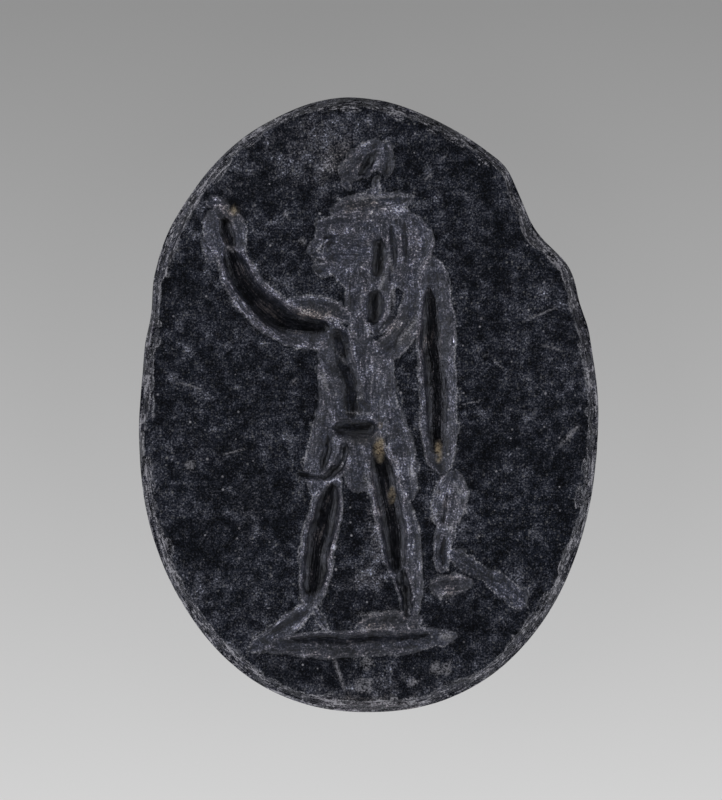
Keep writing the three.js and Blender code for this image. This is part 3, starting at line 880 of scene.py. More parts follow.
    def _grid(self) -> bpy.types.Object:
        """Adds the square grid that becomes the face."""
        bpy.ops.object.select_all(action="DESELECT")
        bpy.ops.mesh.primitive_grid_add(x_subdivisions=self.cells, y_subdivisions=self.cells, size=2)
        stone = bpy.context.object
        stone.name = "engraved_gem"
        stone.data.name = "engraved_gem"
        return stone

    def _refine(self, stone: bpy.types.Object, most_faces: int) -> None:
        """Subdivides the cells that the relief bends through most.

        Args:
            stone: The flat grid.
            most_faces: How many faces it may have afterwards.
        """
        mesh = stone.data
        flat = self._flat(mesh)
        count = len(mesh.polygons)
        starts, corners = np.zeros(count, int), np.zeros(len(mesh.loops), int)
        mesh.polygons.foreach_get("loop_start", starts)
        mesh.loops.foreach_get("vertex_index", corners)
        sides = np.diff(np.r_[starts, len(corners)])
        middle = np.add.reduceat(flat[corners], starts, axis=0) / sides[:, None]
        heights = self._place(flat).spots[:, 2]
        mean = np.add.reduceat(heights[corners], starts) / sides
        bend = np.abs(self._place(middle).spots[:, 2] - mean)
        outermost = np.maximum.reduceat(np.abs(flat[corners, :2]).max(1), starts)
        half_cell = outermost - np.abs(middle[:, :2]).max(1)
        at_border = outermost > 1 - 1e-6
        bend[at_border & (half_cell < self.BORDER_CELL / self.cells)] = 0
        room = max(0, int((most_faces - count) / self.FACES_GAINED))
        chosen = np.zeros(count, bool)
        chosen[np.argsort(-bend, kind="stable")[:room]] = True
        chosen &= bend > self.LEAST_BEND
        self._select_faces(mesh, chosen)
        bpy.ops.object.mode_set(mode="EDIT")
        bpy.ops.mesh.subdivide(number_cuts=1, ngon=False)
        bpy.ops.object.mode_set(mode="OBJECT")
        LOG.info("face refined from %d to %d cells, bend down to %.4f mm", count, len(mesh.polygons),
                 bend[chosen].min() if chosen.any() else 0)

    @staticmethod
    def _select_faces(mesh: bpy.types.Mesh, chosen: np.ndarray) -> None:
        """Selects some faces of a mesh and nothing else."""
        bpy.context.tool_settings.mesh_select_mode = (False, False, True)
        mesh.vertices.foreach_set("select", np.zeros(len(mesh.vertices), bool))
        mesh.edges.foreach_set("select", np.zeros(len(mesh.edges), bool))
        mesh.polygons.foreach_set("select", chosen)
        mesh.update()

    @staticmethod
    def _flat(mesh: bpy.types.Mesh) -> np.ndarray:
        """Reads a mesh's vertices, one row each."""
        flat = np.zeros(len(mesh.vertices) * 3)
        mesh.vertices.foreach_get("co", flat)
        return flat.reshape(-1, 3)

    def _extrude_side(self) -> None:
        """Extrudes the grid's border once for each ring of the side and closes the back."""
        bpy.context.tool_settings.mesh_select_mode = (False, True, False)
        bpy.ops.object.mode_set(mode="EDIT")
        bpy.ops.mesh.select_all(action="DESELECT")
        bpy.ops.mesh.select_non_manifold(
            extend=False, use_wire=False, use_multi_face=False, use_non_contiguous=False, use_verts=False
        )
        for _ in self.side:
            bpy.ops.mesh.extrude_edges_move(TRANSFORM_OT_translate={"value": (0, 0, -1)})
        bpy.ops.mesh.edge_face_add()
        bpy.ops.object.mode_set(mode="OBJECT")

    def _shape(self, stone: bpy.types.Object) -> None:
        """Moves every vertex to its place on the stone and notes what the finish needs."""
        mesh = stone.data
        flat = self._flat(mesh)
        places = self._place(flat)
        heights = places.spots[:, 2]
        places.traits["edge"] = self._stand(flat, heights, self.edge_feel) / self.edge_rise
        places.traits["hollow"] = -self._stand(flat, heights, self.hollow_feel) / self.hollow_sink
        mesh.vertices.foreach_set("co", (places.spots * MM).ravel())
        for name, values in places.traits.items():
            trait = mesh.attributes.new(name, "FLOAT", "POINT")
            trait.data.foreach_set("value", values.astype(np.float32))
        mesh.update()

    def _stand(self, flat: np.ndarray, heights: np.ndarray, feel: float) -> np.ndarray:
        """Measures how far each place of the face stands above those round it.

        Args:
            flat: Points of the flat grid.
            heights: Their heights on the stone, in millimetres.
            feel: How far away the places round it are, in millimetres.

        Returns:
            The height in millimetres, less than 0 in a groove and 0 below the outline.
        """
        across, up = 2 * feel / self.outline.width, 2 * feel / self.outline.length
        moves = ((across, 0, 0), (-across, 0, 0), (0, up, 0), (0, -up, 0))
        around = sum(self._place(flat + np.array(move)).spots[:, 2] for move in moves) / len(moves)
        return np.where(flat[:, 2] < -0.5, 0, heights - around)

    def _close(self, stone: bpy.types.Object) -> None:
        """Splits the back into triangles, turns all faces outwards and smooths them."""
        mesh = stone.data
        sides = np.zeros(len(mesh.polygons), int)
        mesh.polygons.foreach_get("loop_total", sides)
        self._select_faces(mesh, sides > 4)
        bpy.ops.object.mode_set(mode="EDIT")
        bpy.ops.mesh.quads_convert_to_tris(ngon_method="BEAUTY")
        bpy.ops.mesh.select_all(action="SELECT")
        bpy.ops.mesh.normals_make_consistent(inside=False)
        bpy.ops.object.mode_set(mode="OBJECT")
        bpy.ops.object.shade_smooth_by_angle(angle=math.radians(self.SMOOTH_ANGLE))

    def _place(self, flat: np.ndarray) -> Places:
        """Works out where the points of the flat grid go.

        Args:
            flat: Points of the grid. x and y run from -1 to 1, and z is minus the ring's number.

        Returns:
            Their places on the stone and their traits.
        """
        a, b = flat[:, 0], flat[:, 1]
        ring = np.rint(-flat[:, 2]).astype(int)
        share = np.maximum(np.abs(a), np.abs(b))
        safe = np.maximum(share, 1e-9)
        wide = np.abs(a) >= np.abs(b)
        turn = np.where(wide, 45 * b / safe * np.sign(a), 90 * np.sign(b) - 45 * a / safe * np.sign(b))
        degrees = turn + np.where(wide & (a < 0), 180, 0)
        full = self.outline.reach(degrees)
        girth = self.outline.girth(degrees)
        inset = (1 - share) * full
        reach = full - inset - self.outline.ragged(girth) * share**8
        angle = np.radians(degrees)
        x, y = reach * np.cos(angle), reach * np.sin(angle)
        sunk = self.engraving.sink(x, y)
        spots = np.column_stack([x, y, np.full_like(x, self.thickness)])
        spots[:, 2] -= self._bevel(degrees, girth, inset)
        chipped = self._strike(girth, inset, spots[:, 2])
        fade = blend_in(inset, self.bevel_width, self.bevel_width * self.FULL_RELIEF)
        marks = self._marks(x, y)
        depth = np.maximum(sunk.depth, marks["sunken"]) * fade
        level = blend_in(sunk.depth, 0.0, self.SUNKEN)
        crust = marks["crust"]
        hummock = self.hummocks * (1 + Grain(31).rough(x, y, 1.3)) * (1 - level)
        spots[:, 2] = chipped - depth - hummock * fade + crust * fade * level
        traits = {
            "cut": blend_in(depth, 0.0, self.FULL_CUT) * fade,
            "bed": sunk.bed,
            "along": sunk.along,
            "across": sunk.across,
            "clear": sunk.clear,
            "girth": girth,
            "bevelled": blend_in(self.thickness - chipped, 0.0, self.FULL_BEVEL),
            "crust": np.clip(crust / self.wear_and_painted_light.full_crust, 0, 1),
            "worn": marks["worn"],
            "scratched": marks["scratched"],
            "stained": marks["stained"],
            "tone": marks["tone"],
        }
        self._round_side(spots, ring, full, degrees, girth)
        below = self.thickness - self.bevel_drop - spots[:, 2]
        traits["inset"] = np.where(ring > 0, -below, inset)
        for name in ("cut", "bed", "crust", "worn", "scratched"):
            traits[name] = np.where(ring > 0, 0, traits[name])
        traits["bevelled"] = np.where(ring > 0, blend_in(-ring, -3.5, -1.5), traits["bevelled"])
        return Places(spots, traits)

    def _bevel(self, degrees: np.ndarray, girth: np.ndarray, inset: np.ndarray) -> np.ndarray:
        """Measures how far the bevel lies under the face.

        Args:
            degrees: Directions from the stone's middle.
            girth: Places along the outline, in millimetres.
            inset: How far in from the outline they lie, in millimetres.

        Returns:
            The drop in millimetres.
        """
        edge = Grain(22)
        slow, quick = edge.rough(girth, 0 * girth, 0.9), edge.at(girth, 3 + 0 * girth, 0.14)
        uneven = self.bevel_sway * slow + self.bevel_nicks * quick
        run = np.interp(degrees % 360, *np.array(self.bevel_run).T)
        share = inset / (self.bevel_width * run * (1 + uneven))
        steps = self.bevel_steps * edge.at(girth, 20 * inset + 7, 0.5) * np.sin(np.pi * np.clip(share, 0, 1))
        return self.bevel_drop * np.clip(1 - share, 0, 1) + steps

    def _all_flakes(self) -> list[tuple[float, float, Flake]]:
        """Lists every flake with its inset and the height of its middle.

        Returns:
            For each flake its middle's inset, its middle's height and the flake.
        """
        draw = np.random.default_rng(5)
        listed = []
        for flake in self.flakes:
            inset = self.bevel_width / 2 - flake.width * self.LARGE_LIFT
            middle = self.thickness - self.bevel_drop / 2 + flake.depth * self.LARGE_LIFT
            listed.append((inset, middle, flake))
        for _ in range(self.small_flakes):
            width = draw.uniform(*self.small_width)
            at, length = draw.uniform(0, 360), draw.uniform(*self.small_length)
            small = Flake(at, length, width, width * draw.uniform(*self.small_depth))
            inset = draw.uniform(*self.small_inset)
            surface = self.thickness - self.bevel_drop * max(0, 1 - inset / self.bevel_width)
            listed.append((inset, surface + small.depth * self.SMALL_LIFT, small))
        return listed

    def _strike(self, girth: np.ndarray, inset: np.ndarray, height: np.ndarray) -> np.ndarray:
        """Takes the flakes off the bevel.

        Args:
            girth: Places along the outline, in millimetres.
            inset: How far in from the outline they lie, in millimetres.
            height: How high the bevel stands there, in millimetres.

        Returns:
            The height that is left.
        """
        near_edge = np.flatnonzero(inset < self.flaked)
        girth_near, inset_near = girth[near_edge], inset[near_edge]
        left = height[near_edge]
        for inset0, height0, flake in self._all_flakes():
            away = self.outline.away(girth_near, flake.at)
            full = 1 - (2 * away / flake.length) ** 2 - ((inset_near - inset0) / flake.width) ** 2
            bite = height0 - flake.depth * np.sqrt(np.clip(full, 0, None))
            left = np.where(full > 0, np.minimum(left, bite), left)
        struck = height.copy()
        struck[near_edge] = left
        return struck

    def _marks(self, x: np.ndarray, y: np.ndarray) -> dict[str, np.ndarray]:
        """Works out the scratches, pits, worn patches, crusts, stains and tones, painted highlights and
        shade among them.

        Args:
            x: Places across the stone, in millimetres.
            y: Places up the stone, in millimetres.

        Returns:
            How deep the marks are, how thick the crusts are, and how far each place is scratched and
            painted with a highlight, how worn and stained it is, and how light, by name.
        """
        sunken, scratched = np.zeros_like(x), np.zeros_like(x)
        square, place = self.engraving.square, self.engraving.place
        waver = Grain(41).rough(x, y, 0.3)
        # Scratches; those of no depth only mark painted highlights on ridges.
        for scratch in self.wear_and_painted_light.scratches:
            start, end = place(scratch.start), place(scratch.end)
            leg = end - start
            share = ((x - start[0]) * leg[0] + (y - start[1]) * leg[1]) / (leg @ leg)
            inside = np.clip(share, 0, 1)
            gap = np.hypot(x - start[0] - inside * leg[0], y - start[1] - inside * leg[1])
            gap = gap + self.wear_and_painted_light.waver * waver
            fit = blend_in(1 - gap / (scratch.half * square), 0, 1) * np.sin(np.pi * inside) ** 0.5
            sunken = np.maximum(sunken, fit * scratch.depth)
            scratched = np.maximum(scratched, fit)
        for pit in self.wear_and_painted_light.pits:
            fit = self._fit(pit, x, y, waver)
            sunken = np.maximum(sunken, pit.amount * fit)
            # Pits take the glint colour too, partly painted highlight.
            scratched = np.maximum(scratched, 0.7 * (fit > 0.1))
        worn, crust = np.zeros_like(x), np.zeros_like(x)
        for patch in self.wear_and_painted_light.patches:
            worn = np.maximum(worn, patch.amount * self._fit(patch, x, y, waver))
        crumbs = 0.6 + 0.8 * Grain(42).rough(x, y, 0.09)
        for spot in self.wear_and_painted_light.crusts:
            crust = np.maximum(crust, spot.amount * self._fit(spot, x, y, waver) * np.clip(crumbs, 0, None))
        marks = {"sunken": sunken, "scratched": scratched, "worn": worn, "crust": crust}
        for name, spots in (("stained", self.wear_and_painted_light.stains), ("tone", self.wear_and_painted_light.tones)):
            marks[name] = sum(spot.amount * self._fit(spot, x, y, waver) for spot in spots)
        return marks

    def _fit(self, spot: Spot, x: np.ndarray, y: np.ndarray, waver: np.ndarray) -> np.ndarray:
        """Tells how far each place lies inside a ragged spot, from 0 at its edge to 1."""
        middle = self.engraving.place(spot.middle)
        wide, tall = (side * self.engraving.square for side in spot.reach)
        away = np.hypot((x - middle[0]) / wide, (y - middle[1]) / tall)
        return blend_in(1 - away + self.wear_and_painted_light.ragged * waver, 0, 0.8)

    def _round_side(
        self, spots: np.ndarray, ring: np.ndarray, full: np.ndarray, degrees: np.ndarray, girth: np.ndarray
    ) -> None:
        """Puts the side's rings in their places, with the large flakes, which reach them.

        Args:
            spots: The vertices' places in millimetres, which are changed.
            ring: The number of each vertex's ring, 0 for the face.
            full: How far the outline is from the middle, in millimetres.
            degrees: Directions from the middle.
            girth: Places along the outline, in millimetres.
        """
        rough = Grain(23)
        large = self._all_flakes()[: len(self.flakes)]
        for number, shape in enumerate(self.side, start=1):
            here = ring == number
            if not here.any():
                continue
            run = girth[here]
            uneven = self.side_sway * (1 + rough.rough(run, run * 0 + shape.height, 0.7))
            inset = shape.inset + self.outline.ragged(run) + uneven * (1 < number < len(self.side))
            height = np.full(len(run), shape.height)
            for inset0, height0, flake in large:
                away = self.outline.away(run, flake.at)
                fit = 1 - (2 * away / flake.length) ** 2 - ((height - height0) / flake.depth) ** 2
                bite = inset0 + flake.width * np.sqrt(np.clip(fit, 0, None))
                inset = np.where(fit > 0, np.maximum(inset, bite), inset)
            angle = np.radians(degrees[here])
            reach = full[here] - inset
            spots[here] = np.column_stack([reach * np.cos(angle), reach * np.sin(angle), height])


class Value:
    """A number of a shader, on which Python's own operators add Math nodes."""

    def __init__(self, graph: Graph, socket: bpy.types.NodeSocket) -> None:
        """Keeps the socket and the graph that it belongs to."""
        self.graph = graph
        self.socket = socket

    def _math(self, operation: str, *others: Value | float, clamp: bool = False) -> Value:
        """Adds one Math node on this value and up to two others."""
        inputs = {0: self} | {i + 1: other for i, other in enumerate(others)}
        made = self.graph.node("ShaderNodeMath", {"operation": operation, "use_clamp": clamp}, inputs)
        return Value(self.graph, made.outputs[0])

    def __add__(self, other: Value | float) -> Value:
        """Adds."""
        return self._math("ADD", other)

    __radd__ = __add__

    def __sub__(self, other: Value | float) -> Value:
        """Subtracts."""
        return self._math("SUBTRACT", other)

    def __rsub__(self, other: float) -> Value:
        """Subtracts this value from a number."""
        return (self * -1) + other

    def __mul__(self, other: Value | float) -> Value:
        """Multiplies."""
        return self._math("MULTIPLY", other)

    __rmul__ = __mul__

    def __truediv__(self, other: Value | float) -> Value:
        """Divides."""
        return self._math("DIVIDE", other)

    def __pow__(self, power: float) -> Value:
        """Raises to a power."""
        return self._math("POWER", power)

    def exponential(self) -> Value:
        """Raises e to this value."""
        return self._math("EXPONENT")

    def clamped(self) -> Value:
        """Keeps the value from 0 to 1."""
        return self._math("MULTIPLY", 1.0, clamp=True)

    def ramp(self, low: float, high: float) -> Value:
        """Ramps smoothly from 0 at low to 1 at high."""
        made = self.graph.node(
            "ShaderNodeMapRange", {"interpolation_type": "SMOOTHSTEP"}, {0: self, 1: low, 2: high}
        )
        return Value(self.graph, made.outputs[0])


class Graph:
    """The nodes of one material, or of the room."""

    def __init__(self, owner: bpy.types.Material | bpy.types.World) -> None:
        """Empties the owner's nodes and keeps it."""
        owner.use_nodes = True
        self.owner = owner
        self.tree = owner.node_tree
        self.tree.nodes.clear()

    def node(self, kind: str, settings: dict | None = None, inputs: dict | None = None) -> bpy.types.Node:
        """Adds a node.

        Args:
            kind: Its type.
            settings: Its own settings, which are set first.
            inputs: The values or links of its sockets, by number or name.

        Returns:
            The new node.
        """
        made = self.tree.nodes.new(kind)
        for name, value in (settings or {}).items():
            setattr(made, name, value)
        for key, value in (inputs or {}).items():
            if isinstance(value, Value):
                self.tree.links.new(value.socket, made.inputs[key])
            elif isinstance(value, bpy.types.NodeSocket):
                self.tree.links.new(value, made.inputs[key])
            else:
                made.inputs[key].default_value = value
        return made

    def trait(self, name: str) -> Value:
        """Reads one of the mesh's traits."""
        return Value(self, self.node("ShaderNodeAttribute", {"attribute_name": name}).outputs["Fac"])

    def millimetres(self) -> bpy.types.NodeSocket:
        """Gives the place on the stone in millimetres."""
        place = self.node("ShaderNodeTexCoord").outputs["Object"]
        return self.scaled(place, 1 / MM)

    def scaled(self, vector: bpy.types.NodeSocket, by: Value | float) -> bpy.types.NodeSocket:
        """Multiplies a vector or a colour by a number."""
        return self.node("ShaderNodeVectorMath", {"operation": "SCALE"}, {0: vector, "Scale": by}).outputs[0]

    def vector(self, x: Value | float, y: Value | float, z: Value | float = 0.0) -> bpy.types.NodeSocket:
        """Joins three numbers into a vector."""
        return self.node("ShaderNodeCombineXYZ", {}, {0: x, 1: y, 2: z}).outputs[0]

    def parts(self, vector: bpy.types.NodeSocket) -> list[Value]:
        """Splits a vector or a colour into its three numbers."""
        return [Value(self, one) for one in self.node("ShaderNodeSeparateXYZ", {}, {0: vector}).outputs]

    def noise(
        self, place: bpy.types.NodeSocket, grain: float, detail: float = 2, rough: float = 0.5
    ) -> Value:
        """Reads a noise whose lumps are about grain wide.

        Args:
            place: Where to read it.
            grain: The size of its lumps, in the units of place.
            detail: How many finer layers it has.
            rough: How strong those layers are.

        Returns:
            A number around 0, mostly from -0.3 to 0.3.
        """
        inputs = {"Vector": place, "Scale": 1 / grain, "Detail": detail, "Roughness": rough}
        return Value(self, self.node("ShaderNodeTexNoise", {}, inputs).outputs[0]) - 0.5

    def dots(self, place: bpy.types.NodeSocket, pitch: float, size: float, share: float) -> Value:
        """Scatters round specks of all strengths, at most one in each cell.

        Args:
            place: Where to read them.
            pitch: The width of a cell, in the units of place.
            size: The radius of the largest speck, in the units of place.
            share: The share of the cells that have a speck.

        Returns:
            0 between the specks, and up to 1 on the strongest.
        """
        inputs = {"Vector": place, "Scale": 1 / pitch, "Randomness": 1.0}
        cells = self.node("ShaderNodeTexVoronoi", {"voronoi_dimensions": "2D"}, inputs)
        chance, strength, _ = self.parts(cells.outputs["Color"])
        radius = ((chance - (1 - share)) / share).clamped() * (size / pitch)
        inside = ((radius - Value(self, cells.outputs["Distance"])) * (pitch / size * 2.5)).clamped()
        return inside * strength

    def mix(
        self,
        share: Value | float,
        one: Colour | bpy.types.NodeSocket,
        other: Colour | bpy.types.NodeSocket,
        blend: str = "MIX",
    ) -> bpy.types.NodeSocket:
        """Mixes two colours.

        Args:
            share: 0 for the first colour and 1 for the second.
            one: The first colour.
            other: The second colour.
            blend: How the second goes over the first.

        Returns:
            The mixed colour.
        """
        colours = [(*colour, 1) if isinstance(colour, tuple) else colour for colour in (one, other)]
        settings = {"data_type": "RGBA", "blend_type": blend}
        return self.node("ShaderNodeMix", settings, {0: share, 6: colours[0], 7: colours[1]}).outputs[2]

    def finish(self, **sockets: Colour | float | bpy.types.NodeSocket | Value) -> bpy.types.Material:
        """Adds the surface shader and the output.

        Args:
            **sockets: The shader's sockets, with an underscore for each space.

        Returns:
            The finished material.
        """
        inputs = {name.replace("_", " "): value for name, value in sockets.items()}
        surface = self.node("ShaderNodeBsdfPrincipled", {}, inputs)
        self.node("ShaderNodeOutputMaterial", {}, {"Surface": surface.outputs[0]})
        return self.owner


@dataclass(frozen=True)
class Swing:
    """How strongly the brightness of a surface varies from lump to lump.

    Attributes:
        fine: With lumps a twentieth of a millimetre wide.
        middling: With lumps a quarter of a millimetre wide.
        clouds: With patches a millimetre wide.
        drawn: With streaks along the stroke or along the edge.
    """

    fine: float
    middling: float
    clouds: float = 0.0
    drawn: float = 0.0


class Skin:
    """What the finish reads at each place of the stone.

    Attributes:
        place: The place in millimetres.
        cut: 1 inside the engraving.
        bed: 1 on the smooth floor of a slot.
        worn: How rough the polish is worn.
        bevelled: 1 on the bevel and on what was struck off it.
        edge: How sharp a ridge stands there, less than 0 in a narrow groove.
        hollow: How deep the place lies in a wide hollow, less than 0 on a ridge.
        clear: The distance from the nearest rim in millimetres, less than 0 inside a cut.
        tone: How much lighter than the rest it is, with painted shade over some grooves.
        girth: The place along the outline.
        inset: The distance in from the outline, less than 0 down the side.
        above: 0 down the side, 1 elsewhere.
        flat: 1 on the polished face.
        walled: 1 in the engraving, off the bevel.
        fine: Noise of a twentieth of a millimetre.
        middling: Noise of a quarter of a millimetre.
        clouds: Noise of a millimetre.
        stroke: Noise drawn out along the wheel's strokes.
        rim: Noise drawn out along the outline.
    """

    def __init__(self, graph: Graph) -> None:
        """Reads the mesh's traits and draws the noises."""
        self.place = graph.millimetres()
        self.cut, self.bed, self.worn = graph.trait("cut"), graph.trait("bed"), graph.trait("worn")
        self.bevelled, self.edge = graph.trait("bevelled"), graph.trait("edge")
        self.hollow, self.clear, self.tone = graph.trait("hollow"), graph.trait("clear"), graph.trait("tone")
        self.girth, self.inset = graph.trait("girth"), graph.trait("inset")
        self.above = 1 - (self.inset * -1).ramp(0.02, 0.2)
        self.flat = (1 - self.cut) * (1 - self.bevelled)
        self.walled = self.cut * (1 - self.bevelled)
        self.fine = graph.noise(self.place, 0.05, 1, 0.85)
        self.middling = graph.noise(self.place, 0.26, 2, 0.55)
        self.clouds = graph.noise(self.place, 1.2, 3, 0.55)
        track = graph.vector(graph.trait("along") * 2.2 + 5.2, graph.trait("across") * 22 + 3.4, 0.4)
        self.stroke = graph.noise(track, 1.0, 3, 0.6)
        border = graph.vector(self.girth * 2.2, self.inset * 14 + 0.3, 0.4)
        self.rim = graph.noise(border, 1.0, 2, 0.6)


@dataclass(frozen=True)
class HematiteFinish:
    """Dark iron ore with a metal-like gloss, polished on its face and ground where it is cut.

    Attributes:
        polished: The colour of the polished face.
        speck_and_sparkle: The colour of its light specks, partly the ore's grain and partly painted sparkle.
        ground: The colour of the walls that a wheel left.
        bed: The colour of a slot's smooth floor, darker than the walls as painted shade.
        bruise_and_highlight: The colour of a crushed rim, partly real crushing and partly painted highlight.
        broken: The colour of the chipped bevel.
        glint: The colour of the painted glints.
        crust: The colour of burial earth where it is dry and pale.
        soil: The colour of its darker crumbs.
        shade: The tint of the darker grains.
        pale: The tint of the lighter grains.
        stain: The tint of the stained places.
        cool: The tint of the bluer patches.
        warm: The tint of the browner patches.
        sheen: The tint of its gloss.
        density: Its refractive index.
        face_swing: How the brightness varies on the polished face.
        wall_swing: How it varies in the engraving.
        bevel_swing: How it varies on the bevel.
    """

    polished: Colour = (0.037, 0.040, 0.051)
    speck_and_sparkle: Colour = (0.46, 0.46, 0.48)
    ground: Colour = (0.086, 0.090, 0.117)
    bed: Colour = (0.052, 0.049, 0.053)
    bruise_and_highlight: Colour = (0.54, 0.54, 0.6)
    broken: Colour = (0.031, 0.032, 0.046)
    glint: Colour = (0.86, 0.85, 0.94)
    crust: Colour = (0.72, 0.60, 0.42)
    soil: Colour = (0.20, 0.13, 0.075)
    shade: Colour = (0.83, 0.98, 1.28)
    pale: Colour = (1.07, 1.0, 0.93)
    stain: Colour = (1.12, 1.0, 0.80)
    cool: Colour = (0.96, 0.99, 1.05)
    warm: Colour = (1.05, 1.01, 0.97)
    sheen: Colour = (0.88, 0.9, 1.0)
    density: float = 2.05
    face_swing: Swing = Swing(8.0, 6.4, 3.0)
    wall_swing: Swing = Swing(8.6, 4.6, 1.0, 6.4)
    bevel_swing: Swing = Swing(9.0, 4.4, 1.6, 9.0)

    def material(self) -> bpy.types.Material:
        """Builds the material.

        Returns:
            The stone's material.
        """
        graph = Graph(bpy.data.materials.new("hematite"))
        skin = Skin(graph)
        tone_and_painted_light = self._tone_and_painted_light(skin)
        colour = graph.scaled(self._ore(graph, skin), tone_and_painted_light.exponential())
        tint = graph.mix(tone_and_painted_light.ramp(-0.8, 1.6), self.shade, self.pale)
        colour = graph.mix(1.0, colour, tint, "MULTIPLY")
        colour = self._specks(graph, skin, colour)
        colour = self._rims(graph, skin, colour)
        colour = self._glints(graph, skin, colour)
        crumbs = (graph.trait("crust") * skin.fine.ramp(-0.35, 0.0) * 1.2).clamped()
        earth = graph.mix((skin.fine + skin.middling * 0.6).ramp(-0.2, 0.08), self.soil, self.crust)
        rough = skin.cut * 0.14 - skin.bed * 0.16 - skin.bevelled * 0.1 + crumbs * 0.5 + 0.27
        return graph.finish(
            Base_Color=graph.mix(crumbs, colour, earth),
            # Metallic with the floors' dark colour takes their gloss away: painted shade in the slots.
            Metallic=(skin.bed * 0.6).clamped(),
            Roughness=rough.clamped(),
            IOR=self.density,
            Specular_Tint=(*self.sheen, 1),
            Normal=self._relief(graph, skin),
        )

    def _ore(self, graph: Graph, skin: Skin) -> bpy.types.NodeSocket:
        """Mixes the colours of the face, the walls, the slots' floors in painted shade and the bevel.

        Args:
            graph: The material's nodes.
            skin: What is read at each place.

        Returns:
            The colour before it is made lighter or darker.
        """
        colour = graph.mix(skin.bed, self.ground, self.bed)
        colour = graph.mix(skin.cut, self.polished, colour)
        colour = graph.mix(skin.bevelled, colour, self.broken)
        patched = graph.mix((skin.middling + skin.clouds * 0.7).ramp(-0.14, 0.14), self.warm, self.cool)
        colour = graph.mix(1.0, colour, patched, "MULTIPLY")
        browned = graph.mix(1.0, colour, self.stain, "MULTIPLY")
        return graph.mix(graph.trait("stained").clamped(), colour, browned)

    def _tone_and_painted_light(self, skin: Skin) -> Value:
        """Works out how much lighter each place is than its zone's own colour, with painted shade and
        highlights.

        Args:
            skin: What is read at each place.

        Returns:
            The natural logarithm of what the colour is multiplied by.
        """
        tone_and_painted_light = skin.worn * skin.flat * 0.8 + skin.tone
        zones = (
            (skin.flat, self.face_swing, skin.clouds),
            (skin.walled, self.wall_swing, skin.stroke),
            (skin.bevelled, self.bevel_swing, skin.rim),
        )
        for zone, swing, drawn in zones:
            swung = skin.fine * (skin.bed * -0.6 + 1) * swing.fine + skin.middling * swing.middling
            swung = swung + skin.clouds * swing.clouds + drawn * swing.drawn
            tone_and_painted_light = tone_and_painted_light + swung * zone
        # Painted shade: darker in narrow grooves.
        tone_and_painted_light = tone_and_painted_light - (skin.edge * -1).ramp(0.25, 1.3) * 0.6
        # Painted shade: the walls darker in wide hollows; painted highlight: lighter on ridges.
        sunk = skin.hollow.ramp(0.0, 1.0) * (1.4 - skin.bed * 0.2)
        raised = (skin.hollow * -1).ramp(0.0, 0.8) * 0.9
        tone_and_painted_light = tone_and_painted_light - (sunk - raised) * skin.walled
        # Painted highlight: the walls lighter just inside the rims.
        return tone_and_painted_light + skin.clear.ramp(-0.2, -0.04) * skin.walled * 0.3

    def _specks(self, graph: Graph, skin: Skin, colour: bpy.types.NodeSocket) -> bpy.types.NodeSocket:
        """Adds the light specks, partly the ore's grain and partly painted sparkle, densest on worn places.

        Args:
            graph: The material's nodes.
            skin: What is read at each place.
            colour: The colour that they go over.

        Returns:
            The colour with them.
        """
        dense = (skin.clouds + skin.middling).ramp(-0.2, 0.2) * 0.9 + 0.2
        # Painted shade: fewer specks deep in the walls' hollows.
        lit = skin.walled * (1 - skin.hollow.ramp(0.1, 0.9) * 0.75)
        fine_specks = graph.dots(skin.place, 0.055, 0.028, 0.6) * (skin.flat * 0.6 + skin.worn * 0.4 + lit * 0.6)
        grains = graph.dots(skin.place, 0.15, 0.038, 0.6) * (skin.flat * 0.9 + skin.worn * 0.5 + lit * 0.8)
        small = ((fine_specks + grains) * dense * (1 - skin.bed) * skin.above).clamped()
        return graph.mix(small, colour, self.speck_and_sparkle)

    def _rims(self, graph: Graph, skin: Skin, colour: bpy.types.NodeSocket) -> bpy.types.NodeSocket:
        """Adds the crushed edges inside the cuts, partly painted highlight, and painted glints beaded along
        their rims.

        Args:
            graph: The material's nodes.
            skin: What is read at each place.
            colour: The colour that they go over.

        Returns:
            The colour with them.
        """
        # Crushed ridges: partly real crushing, partly painted highlight on the sharp ridges.
        crushed = skin.edge.ramp(0.3, 1.3) * skin.clear.ramp(-0.16, -0.05)
        crushed = crushed * (skin.fine + skin.middling).ramp(-0.12, 0.2) * (1 - skin.bed)
        colour = graph.mix(crushed * 0.4, colour, self.bruise_and_highlight)
        # Painted glints beaded along the rims.
        verge = skin.clear.ramp(-0.06, -0.02) * (1 - skin.clear.ramp(-0.005, 0.02))
        verge = verge * (1 - skin.bevelled) * (1 - skin.worn * 0.8)
        beads = (skin.fine + skin.middling * 0.6).ramp(0.0, 0.14)
        beads = beads * (skin.clouds * 1.6 + skin.middling).ramp(-0.14, 0.14)
        return graph.mix(verge * beads, colour, self.glint)

    def _glints(self, graph: Graph, skin: Skin, colour: bpy.types.NodeSocket) -> bpy.types.NodeSocket:
        """Adds the painted glints: the large specks, the bevel's glints and lip, and the glint colour on the
        scratches.

        Args:
            graph: The material's nodes.
            skin: What is read at each place.
            colour: The colour that they go over.

        Returns:
            The colour with them.
        """
        # Painted glints: large specks on the face and in the cuts, and streaks and specks along the bevel.
        large = graph.dots(skin.place, 0.42, 0.042, 0.5) * (1 - skin.bed) * (1 - skin.bevelled)
        track = graph.vector(skin.girth * 0.35, skin.inset)
        spark = graph.dots(track, 0.06, 0.028, 0.7) + graph.dots(skin.place, 0.09, 0.034, 0.5)
        streak = (skin.rim + skin.fine * 0.4).ramp(0.05, 0.15)
        streak = streak * (skin.middling + skin.clouds).ramp(-0.24, 0.04)
        struck = (spark + streak) * skin.bevelled * (skin.tone.ramp(-1.6, -0.2) * 0.8 + 0.2)
        colour = graph.mix(((struck + large) * skin.above).clamped(), colour, self.glint)
